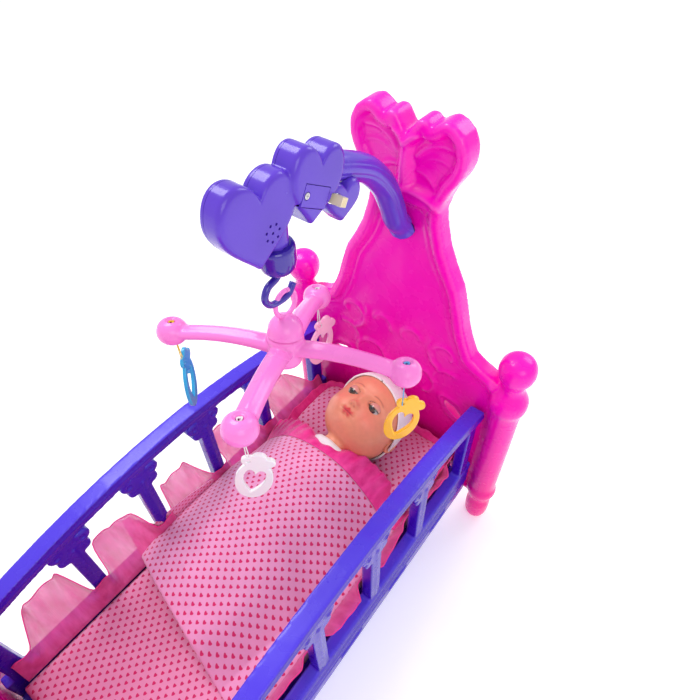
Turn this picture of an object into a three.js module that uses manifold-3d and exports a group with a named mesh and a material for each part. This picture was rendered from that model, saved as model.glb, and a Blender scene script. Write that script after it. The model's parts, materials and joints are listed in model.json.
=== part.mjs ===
// A baby doll in its musical cradle: posts and boards, slatted side panels, bedding,
// a heart-shaped music box on a curved arm, a hanging mobile and the doll itself.
// Millimetres, +Z up, +Y towards the head of the bed, origin on the floor under the middle.
import * as THREE from "three";
import { mergeVertices } from "three/addons/utils/BufferGeometryUtils.js";
import Module from "manifold-3d";

const wasm = await Module();
wasm.setup();

// ---------- driving dimensions ----------
const GAP = 0.3; // running gap between neighbouring pieces
const POST_X = 130; // post axis, either side of the centre plane
const POST_Y = 232; // post axis, either side of the middle
const BOARD = { thick: 16 };
const BOARD_FACE = POST_Y - BOARD.thick / 2; // inner face of each end board
const CREST = { thick: 22, from: 408 }; // the butterfly is thicker than the board
const RAIL = { x: 105.4, wide: 16, deep: 14, end: 203, arch: 36.7 };
const SLAT = { wide: 14, thick: 12, lobe: 7.5, lobeOut: 12.5, pitch: 77.5 };
const BAND = { bottom: 50, top: 107, stile: 207 };
const BED = { z: 72.3, thick: 4 };
const MATTRESS = { x: 92, y: 216, z: 76.6, thick: 27.4 };
const MATTRESS_TOP = MATTRESS.z + MATTRESS.thick;
const ARM_ROUTE = [
  [BOARD_FACE - GAP, 385], [213, 395], [206, 413], [193, 437], [172, 459], [148, 473], [124, 483],
];
const BOX_WALL = 2; // music box shells
const DOOR = { y: 98, z: 480, long: 25, high: 14, thick: 1.8, slope: -31 };
const SWITCH = { y: 118, z: 468, travel: 4 };
const SPEAKER = { y: 62, z: 473, r: 9 };
const SWIVEL = { y: 74, bottom: 431, top: 453, r: 13 };
const HOOK = { rod: 2.6, low: [77, 406] };
const MOBILE = { tilt: [-14, -5], spin: 205.5, arm: 90, hang: 43 };
const KNOB = { r: 12, drop: 3 };
const TOY = { thick: 3, drop: 24 };
const HEAD = { at: [5, 169, 166], pitch: 12, yaw: -12, wall: 3 };
const EYE = { x: 15, y: 3, z: 31.5, r: 7.8 };
const TORSO = { at: [-6.5, 114, 147], pitch: 10, yaw: -6 };
const VOICE = { y: -58, r: 22, thick: 16, low: -6 };

const rad = THREE.MathUtils.degToRad;
const cradle = new THREE.Group();

// ---------- small tools ----------
function clean(geometry) {
  for (const name of Object.keys(geometry.attributes)) {
    if (name !== "position") geometry.deleteAttribute(name);
  }
  const merged = mergeVertices(geometry, 1e-4);
  const index = merged.index.array;
  const kept = [];
  for (let i = 0; i < index.length; i += 3) {
    const [a, b, c] = [index[i], index[i + 1], index[i + 2]];
    if (a !== b && b !== c && c !== a) kept.push(a, b, c);
  }
  merged.setIndex(kept);
  return merged;
}

function toSolid(geometry) {
  const g = clean(geometry.clone());
  return new wasm.Manifold(new wasm.Mesh({
    numProp: 3,
    vertProperties: new Float32Array(g.attributes.position.array),
    triVerts: new Uint32Array(g.index.array),
  }));
}

function fromSolid(solid) {
  const mesh = solid.getMesh();
  const g = new THREE.BufferGeometry();
  g.setAttribute("position", new THREE.BufferAttribute(new Float32Array(mesh.vertProperties), 3));
  g.setIndex(Array.from(mesh.triVerts));
  return g;
}

const join = (...parts) => fromSolid(parts.map(toSolid).reduce((a, b) => a.add(b)));
const cut = (body, ...tools) => fromSolid(
  tools.reduce((a, t) => a.subtract(toSolid(t)), toSolid(body)));
const common = (a, b) => fromSolid(toSolid(a).intersect(toSolid(b)));

function add(name, geometry, color, finish = {}, parent = cradle) {
  const material = new THREE.MeshStandardMaterial({ color, roughness: 0.3, metalness: 0, ...finish });
  const mesh = new THREE.Mesh(clean(geometry), material);
  mesh.name = name;
  parent.add(mesh);
  return mesh;
}

function group(position, rotation = [0, 0, 0], parent = cradle) {
  const g = new THREE.Group();
  g.position.set(...position);
  g.rotation.set(...rotation.map(rad), "ZYX");
  parent.add(g);
  return g;
}

// a shape drawn in (x, z), as thick as asked along Y, centred on y
function slabXZ(shape, thick, y, curveSegments = 8) {
  const g = new THREE.ExtrudeGeometry(shape, { depth: thick, bevelEnabled: false, curveSegments });
  return g.rotateX(Math.PI / 2).translate(0, y + thick / 2, 0);
}

// a shape drawn in (y, z), as thick as asked along X, centred on x
function slabYZ(shape, thick, x, curveSegments = 8) {
  const g = new THREE.ExtrudeGeometry(shape, { depth: thick, bevelEnabled: false, curveSegments });
  const turn = new THREE.Matrix4().makeBasis(
    new THREE.Vector3(0, 1, 0), new THREE.Vector3(0, 0, 1), new THREE.Vector3(1, 0, 0));
  return g.applyMatrix4(turn).translate(x - thick / 2, 0, 0);
}

function box(x0, x1, y0, y1, z0, z1) {
  return new THREE.BoxGeometry(x1 - x0, y1 - y0, z1 - z0)
    .translate((x0 + x1) / 2, (y0 + y1) / 2, (z0 + z1) / 2);
}

// profile of [radius, z] pairs turned about the Z axis
function turned(profile, segments = 16) {
  const points = profile.map(([r, z]) => new THREE.Vector2(r, z));
  return new THREE.LatheGeometry(points, segments).rotateX(Math.PI / 2);
}

function rodX(r, x0, x1, y, z, segments = 12) {
  return new THREE.CylinderGeometry(r, r, x1 - x0, segments)
    .rotateZ(-Math.PI / 2).translate((x0 + x1) / 2, y, z);
}

function rodY(r, y0, y1, x, z, segments = 10) {
  return new THREE.CylinderGeometry(r, r, y1 - y0, segments).translate(x, (y0 + y1) / 2, z);
}

function rodZ(r, z0, z1, x = 0, y = 0, segments = 12) {
  return new THREE.CylinderGeometry(r, r, z1 - z0, segments)
    .rotateX(Math.PI / 2).translate(x, y, (z0 + z1) / 2);
}

function ellipse(rx, ry, segments = 12) {
  const points = [];
  for (let i = 0; i < segments; i += 1) {
    const a = (2 * Math.PI * i) / segments;
    points.push(new THREE.Vector2(rx * Math.cos(a), ry * Math.sin(a)));
  }
  return new THREE.Shape(points);
}

// a solid bar of the given section along points
function bar(section, points, steps) {
  const path = new THREE.CatmullRomCurve3(points.map((p) => new THREE.Vector3(...p)));
  return new THREE.ExtrudeGeometry(section, { steps, bevelEnabled: false, extrudePath: path });
}

const along = (list, n) => new THREE.SplineCurve(list.map((p) => new THREE.Vector2(...p))).getPoints(n);

// both halves of an outline given for x > 0, from the bottom to the top
function mirrored(half) {
  const shape = new THREE.Shape();
  half.forEach((p, i) => (i ? shape.lineTo(p.x, p.y) : shape.moveTo(p.x, p.y)));
  [...half].reverse().forEach((p) => {
    if (p.x > 0.01) shape.lineTo(-p.x, p.y);
  });
  return shape;
}

// ---------- end boards, each one moulding with its two posts ----------
const POST_PROFILE = [
  [0, 0], [9, 0], [12.6, 7], [14, 18], [14, 32], [12.4, 43], [16.4, 53], [16.4, 63], [14.6, 69],
  [15.9, 214], [19, 222], [19, 232], [15, 240], [11, 247], [11.5, 255], [16.4, 264], [17.8, 272.5],
  [16, 281], [11, 287], [0, 290],
];

function leaf(side) {
  const hole = new THREE.Path();
  hole.moveTo(side * 64, 184);
  hole.quadraticCurveTo(side * 84, 184, side * 91, 163);
  hole.quadraticCurveTo(side * 71, 163, side * 64, 184);
  return hole;
}

function endBoard(top, crest) {
  const base = [[0, 62], [40, 60], [80, 52], [118, 48]].map((p) => new THREE.Vector2(...p));
  const shape = mirrored([...base, new THREE.Vector2(118, 248), ...top]);
  shape.holes.push(leaf(1), leaf(-1));
  const posts = [-POST_X, POST_X].map((x) => turned(POST_PROFILE, 12).translate(x, POST_Y, 0));
  const parts = [slabXZ(shape, BOARD.thick, POST_Y, 5), ...posts];
  if (crest) parts.push(slabXZ(crest, CREST.thick, POST_Y));
  return join(...parts);
}

const FLANK = [
  [112, 252], [89, 262], [81, 276], [73, 296], [63, 333], [46, 365], [37, 395], [35.5, CREST.from],
];
const WING = [
  [35.5, CREST.from], [37, 416], [43, 430], [51, 444], [54, 460], [48, 476], [33, 484], [21, 476],
];
const BUMP = [[21, 476], [16, 481], [10, 480], [6, 474], [0, 466]];

function headboard() {
  const wing = [...along(WING, 14), ...along(BUMP, 5).slice(1)];
  const crest = mirrored([new THREE.Vector2(0, CREST.from), ...wing]);
  const geometry = endBoard([...along(FLANK, 12), ...wing.slice(1)], crest);
  return cut(geometry, rodY(2.3, POST_Y - 20, POST_Y + 20, 0, 385));
}

function footboard() {
  const crown = [[112, 252], [89, 262], [72, 277], [45, 293], [20, 301], [0, 302]];
  return endBoard(along(crown, 12)).rotateZ(Math.PI);
}

add("headboard", headboard(), 0xff1ea8);
add("footboard", footboard(), 0xff1ea8);

// ---------- side panels ----------
const railTop = (y) => RAIL.end + RAIL.arch * (1 - (y / BOARD_FACE) ** 2);

function railShape() {
  const end = BOARD_FACE - GAP;
  const shape = new THREE.Shape();
  shape.moveTo(-end, RAIL.end);
  shape.lineTo(-end, RAIL.end - RAIL.deep);
  shape.quadraticCurveTo(0, RAIL.end - RAIL.deep + 2 * RAIL.arch, end, RAIL.end - RAIL.deep);
  shape.lineTo(end, RAIL.end);
  shape.quadraticCurveTo(0, RAIL.end + 2 * RAIL.arch, -end, RAIL.end);
  return shape;
}

function bandShape() {
  const end = BOARD_FACE - GAP;
  const shape = new THREE.Shape();
  shape.moveTo(-end, BAND.bottom);
  shape.lineTo(end, BAND.bottom);
  shape.lineTo(end, BAND.top);
  shape.lineTo(-end, BAND.top);
  for (const y of [-2, -1, 0, 1, 2].map((i) => i * (SLAT.pitch + 3))) {
    const slot = new THREE.Path();
    slot.absarc(y + 13, 61, 4, Math.PI / 2, -Math.PI / 2, true);
    slot.absarc(y - 13, 61, 4, -Math.PI / 2, -1.5 * Math.PI, true);
    shape.holes.push(slot);
  }
  return shape;
}

function slat(x, y) {
  const under = railTop(y) - RAIL.deep;
  const half = SLAT.thick / 2;
  const parts = [box(x - half, x + half, y - SLAT.wide / 2, y + SLAT.wide / 2, BAND.top - 3, under + 6)];
  for (const side of [-1, 1]) {
    parts.push(rodX(SLAT.lobe, x - half, x + half, y + side * SLAT.lobeOut, under - 10, 8));
    parts.push(rodX(SLAT.lobe - 1, x - half, x + half, y + side * (SLAT.lobeOut - 3), under - 23, 8));
  }
  return parts;
}

function sidePanel(side) {
  const x = side * RAIL.x;
  const half = SLAT.thick / 2;
  const parts = [slabYZ(railShape(), RAIL.wide, x, 14), slabYZ(bandShape(), SLAT.thick, x, 3)];
  for (const i of [-1.5, -0.5, 0.5, 1.5]) parts.push(...slat(x, i * SLAT.pitch));
  for (const y of [-BAND.stile, BAND.stile]) {
    parts.push(box(x - half, x + half, y - 8, y + 8, BAND.top - 3, railTop(y) - 4));
  }
  const ledge = [RAIL.x - 12, RAIL.x - 4].map((v) => side * v).sort((a, b) => a - b);
  parts.push(box(...ledge, -200, 200, BED.z - 4.3, BED.z - GAP));
  return join(...parts);
}

add("side_panel_left", sidePanel(-1), 0x5a3ae0);
add("side_panel_right", sidePanel(1), 0x5a3ae0);

// ---------- bed base and bedding ----------
function bedBase() {
  const x = RAIL.x - SLAT.thick / 2 - GAP;
  const parts = [box(-x, x, -BOARD_FACE + 0.4, BOARD_FACE - 0.4, BED.z, BED.z + BED.thick)];
  for (const y of [-150, -75, 0, 75, 150]) parts.push(box(-88, 88, y - 1.5, y + 1.5, BED.z - 7, BED.z + 1));
  return join(...parts);
}

function mattress() {
  const { x, y } = MATTRESS;
  const r = 14;
  const shape = new THREE.Shape();
  shape.absarc(x - r, y - r, r, 0, Math.PI / 2);
  shape.absarc(r - x, y - r, r, Math.PI / 2, Math.PI);
  shape.absarc(r - x, r - y, r, Math.PI, 1.5 * Math.PI);
  shape.absarc(x - r, r - y, r, 1.5 * Math.PI, 2 * Math.PI);
  const options = { depth: MATTRESS.thick, bevelEnabled: false, curveSegments: 4 };
  return new THREE.ExtrudeGeometry(shape, options).translate(0, 0, MATTRESS.z);
}

const headTurn = new THREE.Matrix4().makeRotationFromEuler(
  new THREE.Euler(rad(HEAD.pitch), 0, rad(HEAD.yaw), "ZYX")).setPosition(...HEAD.at);

function pillow() {
  const z = MATTRESS_TOP + GAP;
  const side = along([[122, z], [121, z + 8], [130, z + 20], [160, z + 25], [195, z + 24],
    [212, z + 16], [214, z + 6], [210, z]], 14);
  const shape = new THREE.Shape(side);
  const hollow = new THREE.CylinderGeometry(47.5, 47.5, 160, 24).applyMatrix4(headTurn);
  return cut(slabYZ(shape, 166, 4), hollow);
}

function blanket() {
  const low = MATTRESS_TOP + GAP;
  const inner = [[86, low], [78, 113], [66, 126], [50, 143], [32, 157], [10, 169], [-13, 174],
    [-36, 169], [-56, 157], [-72, 145], [-80, 132], [-84, 116], [-86, low]];
  const outer = [[-91, low], [-89, 119], [-85, 137], [-76, 151], [-59, 163], [-38, 175], [-13, 180],
    [12, 175], [36, 162], [55, 148], [71, 130], [83, 115], [91, low]];
  const shape = new THREE.Shape([...along(outer, 22), ...along(inner, 22)]);
  const sheet = slabXZ(shape, 221, -9.5);
  const flap = box(-141, -86, -106, -56, low + 5, low + 9);
  return join(sheet, flap);
}

const CLOTH = { roughness: 0.85 };
add("bed_base", bedBase(), 0x5a3ae0);
add("mattress", mattress(), 0xf8a8c8, CLOTH);
add("pillow", pillow(), 0xf8a8c8, CLOTH);
add("blanket", blanket(), 0xf8a8c8, CLOTH);

// ---------- mobile arm ----------
const armLine = (grow) => bar(ellipse(11 + grow, 10.5 + grow, 14), ARM_ROUTE.map(([y, z]) => [0, y, z]), 16);

function mobileArm() {
  const beyond = box(-30, 30, BOARD_FACE - GAP, BOARD_FACE + 30, 340, 430);
  return cut(armLine(0), beyond, rodY(1.9, BOARD_FACE - 12, BOARD_FACE + 9, 0, 385));
}

function screw(headR, shankR, long) {
  return turned([[0, 0], [headR, 0], [headR, 1.4], [shankR, 1.9], [shankR, long - 1.5], [0, long]], 10);
}

const VIOLET = 0x6b48dc;
const STEEL = { roughness: 0.35, metalness: 0.9 };
add("mobile_arm", mobileArm(), VIOLET);
add("arm_screw", screw(4, 1.6, 25).rotateX(Math.PI / 2)
  .translate(0, BOARD_FACE + CREST.thick / 2 + 7.5, 385), 0xb0b0b8, STEEL);

// ---------- music box: three joined hearts ----------
// [y, z, width, height, tilt, half thickness at the back, at the front]
const HEARTS = [
  { y: 54, z: 481, w: 62, h: 58, tilt: -9, back: 4, front: 13 },
  { y: 102, z: 485, w: 50, h: 50, tilt: -19, back: 4, front: 16 },
  { y: 128.5, z: 460, w: 35, h: 29, tilt: -14, back: -1, front: 15 },
];

function heartShape(w, h) {
  const s = new THREE.Shape();
  s.moveTo(0, 0.27 * h);
  s.bezierCurveTo(0.06 * w, 0.56 * h, 0.5 * w, 0.62 * h, 0.5 * w, 0.16 * h);
  s.bezierCurveTo(0.5 * w, -0.12 * h, 0.2 * w, -0.3 * h, 0, -0.5 * h);
  s.bezierCurveTo(-0.2 * w, -0.3 * h, -0.5 * w, -0.12 * h, -0.5 * w, 0.16 * h);
  s.bezierCurveTo(-0.5 * w, 0.62 * h, -0.06 * w, 0.56 * h, 0, 0.27 * h);
  return s;
}

function heartSlab(heart, inset) {
  const { w, h, tilt, y, z, back, front } = heart;
  const shape = heartShape(w - 2 * inset, h - 2 * inset);
  const thick = back + front - 2 * inset;
  return slabYZ(shape, thick, 0, 6).rotateX(rad(tilt)).translate((front - back) / 2, y, z);
}

const stub = (grow) => rodZ(9 - grow, SWIVEL.top + GAP + grow, 478, 0, SWIVEL.y, 14);
const BOSSES = [[38, 487, 12], [76, 487, 12], [102, 498, 15]]; // y, z and how far forward

function onDoor(geometry) {
  return geometry.rotateX(rad(DOOR.slope)).translate(0, DOOR.y, DOOR.z);
}

function casing() {
  const outer = join(...HEARTS.map((h) => heartSlab(h, 0)), stub(0));
  const inner = join(...HEARTS.map((h) => heartSlab(h, BOX_WALL)), stub(BOX_WALL));
  const posts = BOSSES.map(([y, z, reach]) => rodX(3.6, -3.5, reach, y, z, 10));
  return join(cut(outer, inner, armLine(GAP)), ...posts);
}

function musicBox() {
  const whole = casing();
  const front = common(whole, box(GAP / 2, 40, -20, 200, 400, 560));
  const rear = common(whole, box(-40, -GAP / 2, -20, 200, 400, 560));
  const holes = [];
  for (let i = 0; i < 8; i += 1) {
    const a = (2 * Math.PI * i) / 7;
    const r = i === 7 ? 0 : 5.6;
    holes.push(rodX(0.9, 5, 20, SPEAKER.y + r * Math.cos(a), SPEAKER.z + r * Math.sin(a), 6));
  }
  const doorway = onDoor(box(10, 30, -DOOR.long / 2 - GAP, DOOR.long / 2 + GAP,
    -DOOR.high / 2 - GAP, DOOR.high / 2 + GAP));
  const slot = box(5, 30, -3.4 - SWITCH.travel, 3.4, -3.8, 3.8).rotateX(rad(DOOR.slope))
    .translate(0, SWITCH.y, SWITCH.z);
  const nest = box(3.2, 14, -9, 5.3, -4, 4).rotateX(rad(DOOR.slope)).translate(0, SWITCH.y, SWITCH.z);
  const bores = BOSSES.map(([y, z]) => rodX(1.6, -30, 9, y, z, 8));
  const sinks = BOSSES.map(([y, z]) => rodX(3, -30, -1.9, y, z, 10));
  add("music_box_front", cut(front, ...holes, doorway, slot, nest, ...bores, armLine(GAP)), VIOLET);
  add("music_box_rear", cut(rear, ...bores, ...sinks, armLine(GAP)), VIOLET);
}

musicBox();

function batteryDoor() {
  const x = HEARTS[1].front;
  const { long, high, thick } = DOOR;
  const plate = box(x - thick, x, -long / 2, long / 2, -high / 2, high / 2);
  return onDoor(cut(plate, rodX(1.6, 0, 30, -9, 0, 10), rodX(2.6, x - 0.9, 30, -9, 0, 10)));
}

function doorScrew() {
  const x = HEARTS[1].front;
  const geometry = join(rodX(2.2, x - 0.6, x + 0.4, -9, 0, 10), rodX(1.2, x - 4.5, x, -9, 0, 8));
  return onDoor(geometry);
}

function switchKnob() {
  const body = join(box(13, 22, -3, 3, -3.4, 3.4), box(10.4, 13, -4.6, 4.6, -3.6, 3.6));
  return body.rotateX(rad(DOOR.slope)).translate(0, SWITCH.y, SWITCH.z);
}

add("battery_door", batteryDoor(), VIOLET);
add("door_screw", doorScrew(), 0xb0b0b8, STEEL);
add("switch_knob", switchKnob(), 0xf0e6cc);
add("switch_body", box(4, 10, -8.6, 5, -3.6, 2.6).rotateX(rad(DOOR.slope))
  .translate(0, SWITCH.y, SWITCH.z), 0x303030);
add("speaker", rodX(SPEAKER.r, 4.5, 9.5, SPEAKER.y, SPEAKER.z, 20), 0x303034);
add("circuit_board", box(-1.4, 0, 44, 70, 468, 484), 0x1d7a3c);
for (let i = 0; i < 3; i += 1) {
  const x = 2.6 + i * 3.7;
  add(`button_cell_${i + 1}`, rodX(3.9, x, x + 3.6, DOOR.y, DOOR.z, 16), 0xc8c8cc, STEEL);
}
add("cell_contact", rodX(3, 0.6, 2.4, DOOR.y, DOOR.z, 10), 0xd0c070, STEEL);
BOSSES.forEach(([y, z], i) => add(`shell_screw_${i + 1}`,
  screw(2.6, 1.25, 12).rotateY(Math.PI / 2).translate(-4, y, z), 0xb0b0b8, STEEL));

// ---------- swivel cup and hook ----------
function swivelCup() {
  const { bottom, top, r } = SWIVEL;
  const profile = [[0, bottom], [7, bottom], [11, bottom + 3], [r, bottom + 9], [r, top - 2],
    [r - 1.5, top], [0, top]];
  const cavity = turned([[0, bottom + 5], [7.5, bottom + 5], [7.5, bottom + 14], [0, bottom + 14]], 12);
  const cup = cut(turned(profile, 18), cavity, rodZ(3.3, bottom - 1, bottom + 6, 0, 0, 14));
  return join(cup, rodY(2.6, 9, 17, 0, bottom + 4, 8)).translate(0, SWIVEL.y, 0);
}

function hook() {
  const [y, z] = HOOK.low;
  const route = [[SWIVEL.y, 443], [SWIVEL.y, 437], [SWIVEL.y, 430.5], [SWIVEL.y - 3.5, 426.5],
    [SWIVEL.y - 12, 424], [SWIVEL.y - 16, 416.5], [SWIVEL.y - 12, 409], [y - 6, z], [y + 3, z + 0.5],
    [y + 9, z + 7]];
  const rod = bar(ellipse(HOOK.rod, HOOK.rod, 8), route.map((p) => [0, ...p]), 24);
  const head = rodZ(6, 439, 443, 0, SWIVEL.y, 12);
  return join(rod, head);
}

add("swivel_cup", swivelCup(), 0x4a30c0);
add("hook", hook(), 0x4a30c0);

// ---------- hanging mobile, drawn about the hook's lowest rod ----------
const mobile = group([0, ...HOOK.low], [...MOBILE.tilt, 0]);
const PINK = 0xf99ae6;

function mobileCap() {
  const z = -MOBILE.hang;
  const dome = turned([[0, z + 12.3], [13, z + 12.3], [13, z + 16], [11.5, z + 22], [7, z + 27],
    [0, z + 29]], 18);
  const ring = new THREE.TorusGeometry(10, 1.7, 6, 18).rotateX(Math.PI / 2);
  return join(dome, ring.translate(0, 0, HOOK.rod + 1.7 + 0.4 - 10));
}

function mobileCross() {
  const hub = turned([[0, -13], [9, -13], [12.6, -9], [13, 0], [13, 12], [0, 12]], 18);
  const parts = [hub];
  const bores = [];
  for (let i = 0; i < 4; i += 1) {
    const turn = rad(MOBILE.spin + 90 * i);
    const route = [[4, 0, 0], [30, 0, 3], [60, 0, 1.5], [MOBILE.arm - 4, 0, -KNOB.drop]];
    parts.push(bar(ellipse(5, 8, 10), route, 5).rotateZ(turn));
    const knob = new THREE.SphereGeometry(KNOB.r, 12, 7).rotateX(Math.PI / 2).scale(1, 1, 0.9);
    parts.push(knob.translate(MOBILE.arm, 0, -KNOB.drop).rotateZ(turn));
    bores.push(rodZ(2.4, -30, 30, MOBILE.arm, 0, 6).rotateZ(turn));
  }
  return cut(join(...parts), ...bores).translate(0, 0, -MOBILE.hang);
}

add("mobile_cap", mobileCap(), PINK, {}, mobile);
add("mobile_cross", mobileCross(), PINK, {}, mobile);

// ---------- toys on strings ----------
// flat teether outline, drawn about its string hole, hanging towards -Y of its own plane
function toyShape() {
  const thick = TOY.thick;
  const options = { depth: thick, bevelEnabled: false, curveSegments: 12 };
  const flat = (shape) => new THREE.ExtrudeGeometry(shape, options).translate(0, 0, -thick / 2);
  const loop = new THREE.Shape().absellipse(6.5, -24, 13, 24, 0, 2 * Math.PI);
  loop.holes.push(new THREE.Path().absellipse(6.5, -25.5, 7.5, 15.5, 0, 2 * Math.PI));
  const lobes = [[0, 0], [6.5, 4.5], [13, 0]].map(([x, y]) => flat(ellipse(5, 5, 12)).translate(x, y, 0));
  return cut(join(flat(loop), ...lobes), rodZ(1.3, -5, 5, 0, 0, 8));
}

const TOYS = [
  { name: "blue", color: 0x35b4e0, thread: 0xf0d020, face: 128 },
  { name: "white", color: 0xfafafa, thread: 0xf4f4f4, face: 38 },
  { name: "yellow", color: 0xffc000, thread: 0x60b8e8, face: 38 },
  { name: "pink", color: 0xf7b4d8, thread: 0xf4f4f4, face: 75 },
];
const LEAN = 15; // the toy's own balance point lies under its string hole

function hangingToys() {
  cradle.updateMatrixWorld(true);
  TOYS.forEach(({ name, color, thread, face }, i) => {
    const turn = rad(MOBILE.spin + 90 * i);
    const knob = new THREE.Vector3(MOBILE.arm * Math.cos(turn), MOBILE.arm * Math.sin(turn),
      -KNOB.drop - MOBILE.hang).applyMatrix4(mobile.matrixWorld);
    const under = knob.z - 0.9 * KNOB.r - 0.8;
    const hang = group([knob.x, knob.y, under], [0, 0, face]);
    const string = rodZ(0.6, -TOY.drop + 5.3, 0, 0, 0, 8);
    add(`string_${name}`, string, thread, CLOTH, hang);
    add(`toy_${name}`, toyShape().rotateZ(rad(-LEAN)).rotateX(Math.PI / 2)
      .translate(0, 0, -TOY.drop), color, {}, hang);
  });
}

hangingToys();

// ---------- the doll's head ----------
const head = group(HEAD.at, [HEAD.pitch, 0, HEAD.yaw]);
const SKIN = 0xf0a080;

// egg profile about the head's own long axis: [radius, distance towards the crown]
const SKULL = [
  [24, -39], [33, -32], [38.5, -20], [40, -4], [40.5, 10], [38, 24], [31, 35], [20, 42], [0, 45.5],
];

function egg(grow, low) {
  const bottom = low ? [[0, -58 - grow], [14 + grow, -58 - grow], [14 + grow, -41]] : [[0, -41 - grow]];
  const profile = [...bottom, ...SKULL.map(([r, y]) => [r ? r + grow : 0, y + (y > 30 ? grow : 0)])];
  return turned(profile, 20).rotateX(-Math.PI / 2);
}

function dollHead() {
  const outer = egg(0, true);
  const nose = new THREE.SphereGeometry(5, 8, 6).translate(0, -9, 39.5);
  const ears = [-1, 1].map((s) => new THREE.SphereGeometry(6.5, 8, 6).scale(0.55, 1.2, 0.9)
    .translate(s * 40, -4, -4));
  const body = cut(join(outer, nose, ...ears), egg(-HEAD.wall, true));
  const sockets = [-1, 1].map((s) => rodZ(EYE.r + 0.4, 20, 60, s * EYE.x, EYE.y, 14));
  const neckBore = new THREE.CylinderGeometry(10.5, 10.5, 30, 16).translate(0, -55, 0);
  return cut(body, ...sockets, neckBore);
}

function dollCap() {
  const face = new THREE.BoxGeometry(120, 200, 200).translate(0, -100, 0)
    .rotateX(rad(-42.5)).translate(0, -6, -8);
  const shell = cut(egg(3, false), egg(0.8, false), face);
  const ears = [-1, 1].map((s) => new THREE.SphereGeometry(8.6, 10, 6).translate(s * 41, -4, -4));
  return cut(shell, ...ears);
}

function eye(side) {
  return new THREE.SphereGeometry(EYE.r, 12, 8).translate(side * EYE.x, EYE.y, EYE.z);
}

function eyeWeight() {
  const bridge = rodX(1.6, -6.9, 6.9, EYE.y, EYE.z, 8);
  const stalk = box(-1.5, 1.5, EYE.y - 1.5, EYE.y + 1.5, EYE.z - 12, EYE.z);
  return join(bridge, stalk, box(-4, 4, EYE.y - 3.5, EYE.y + 3.5, EYE.z - 17, EYE.z - 10));
}

add("doll_head", dollHead(), SKIN, { roughness: 0.5 }, head);
add("doll_cap", dollCap(), 0xfbf3f4, CLOTH, head);
add("eye_left", eye(-1), 0xf6f2ee, { roughness: 0.1 }, head);
add("eye_right", eye(1), 0xf6f2ee, { roughness: 0.1 }, head);
add("eye_weight", eyeWeight(), 0x8a8a90, STEEL, head);

// ---------- the doll's body ----------
const body = group(TORSO.at, [TORSO.pitch, 0, TORSO.yaw]);

// a smooth closed form about the Y axis, from the neck down, flattened in Z
function stuffed(profile, flat, segments = 18) {
  return turned(profile, segments).rotateX(-Math.PI / 2).scale(1, 1, flat);
}

function torso() {
  const outline = [[0, -112], [24, -110], [35, -98], [39, -75], [38, -50], [34, -25], [24, -8], [0, -4]];
  const form = stuffed(outline, 0.72);
  const pocket = rodZ(VOICE.r + 0.6, -60, 10.6, 0, VOICE.y, 18);
  return cut(form, pocket, rodZ(9.6, 0, 13.4, 0, VOICE.y, 14));
}

function limb(radius, long, hand) {
  const r = radius;
  const outline = [[0, -long - hand], [hand * 0.8, -long - hand * 0.6], [hand, -long],
    [r * 0.8, 8 - long], [r, -long / 2], [r, -8], [r * 0.6, -1], [0, 0]];
  return stuffed(outline, 1, 12);
}

function voiceShell(front) {
  const { y, r, thick, low } = VOICE;
  const z0 = front ? low + thick / 2 + GAP / 2 : low;
  const z1 = front ? low + thick : low + thick / 2 - GAP / 2;
  const hollow = front ? rodZ(r - 2, z0 - 5, z1 - 2, 0, y, 20) : rodZ(r - 2, z0 + 2, z1 + 5, 0, y, 20);
  const shell = cut(rodZ(r, z0, z1, 0, y, 20), hollow);
  return front ? cut(shell, rodZ(7.4, z0, z1 + 5, 0, y, 16)) : shell;
}

add("doll_torso", torso(), 0xfbe6ee, CLOTH, body);
add("doll_collar", turned([[17.5, -3], [23, -4], [24, 3], [18, 5], [17.5, -3]], 18)
  .rotateX(-Math.PI / 2).translate(0, -2, 6), 0xffffff, CLOTH, body);
for (const side of [-1, 1]) {
  const name = side < 0 ? "left" : "right";
  add(`doll_arm_${name}`, limb(8, 72, 8).rotateZ(rad(side * -2)).translate(side * 44, -16, -13),
    SKIN, { roughness: 0.5 }, body);
}
const legs = group([-17.5, 0, 118.5], [0, 0, TORSO.yaw]);
for (const side of [-1, 1]) {
  const name = side < 0 ? "left" : "right";
  add(`doll_leg_${name}`, limb(13.5, 76, 12).translate(side * 17, -1, 0),
    SKIN, { roughness: 0.5 }, legs);
}

// ---------- the voice unit in the doll's back ----------
function voiceButton() {
  const { y, low, thick } = VOICE;
  const top = low + thick;
  return join(rodZ(7, top - 2.6, top + 1.8, 0, y, 16), rodZ(8.8, top - 4.6, top - 2.6, 0, y, 16));
}

add("voice_shell_front", voiceShell(true), 0xf4f4f4, {}, body);
add("voice_shell_rear", voiceShell(false), 0xf4f4f4, {}, body);
add("voice_button", voiceButton(), 0xff5fb0, {}, body);
add("voice_board", rodZ(17, VOICE.low + 7, VOICE.low + 8.4, 0, VOICE.y, 16), 0x1d7a3c, {}, body);
add("voice_speaker", rodZ(12, VOICE.low + 2.5, VOICE.low + 6.5, 0, VOICE.y, 18), 0x303034, {}, body);

export default cradle;
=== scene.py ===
"""A baby doll in its musical cradle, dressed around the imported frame. Helpers work in mm."""
import json
import math

import bmesh
import bpy
import numpy as np
from mathutils import Matrix, Vector, noise


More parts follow.
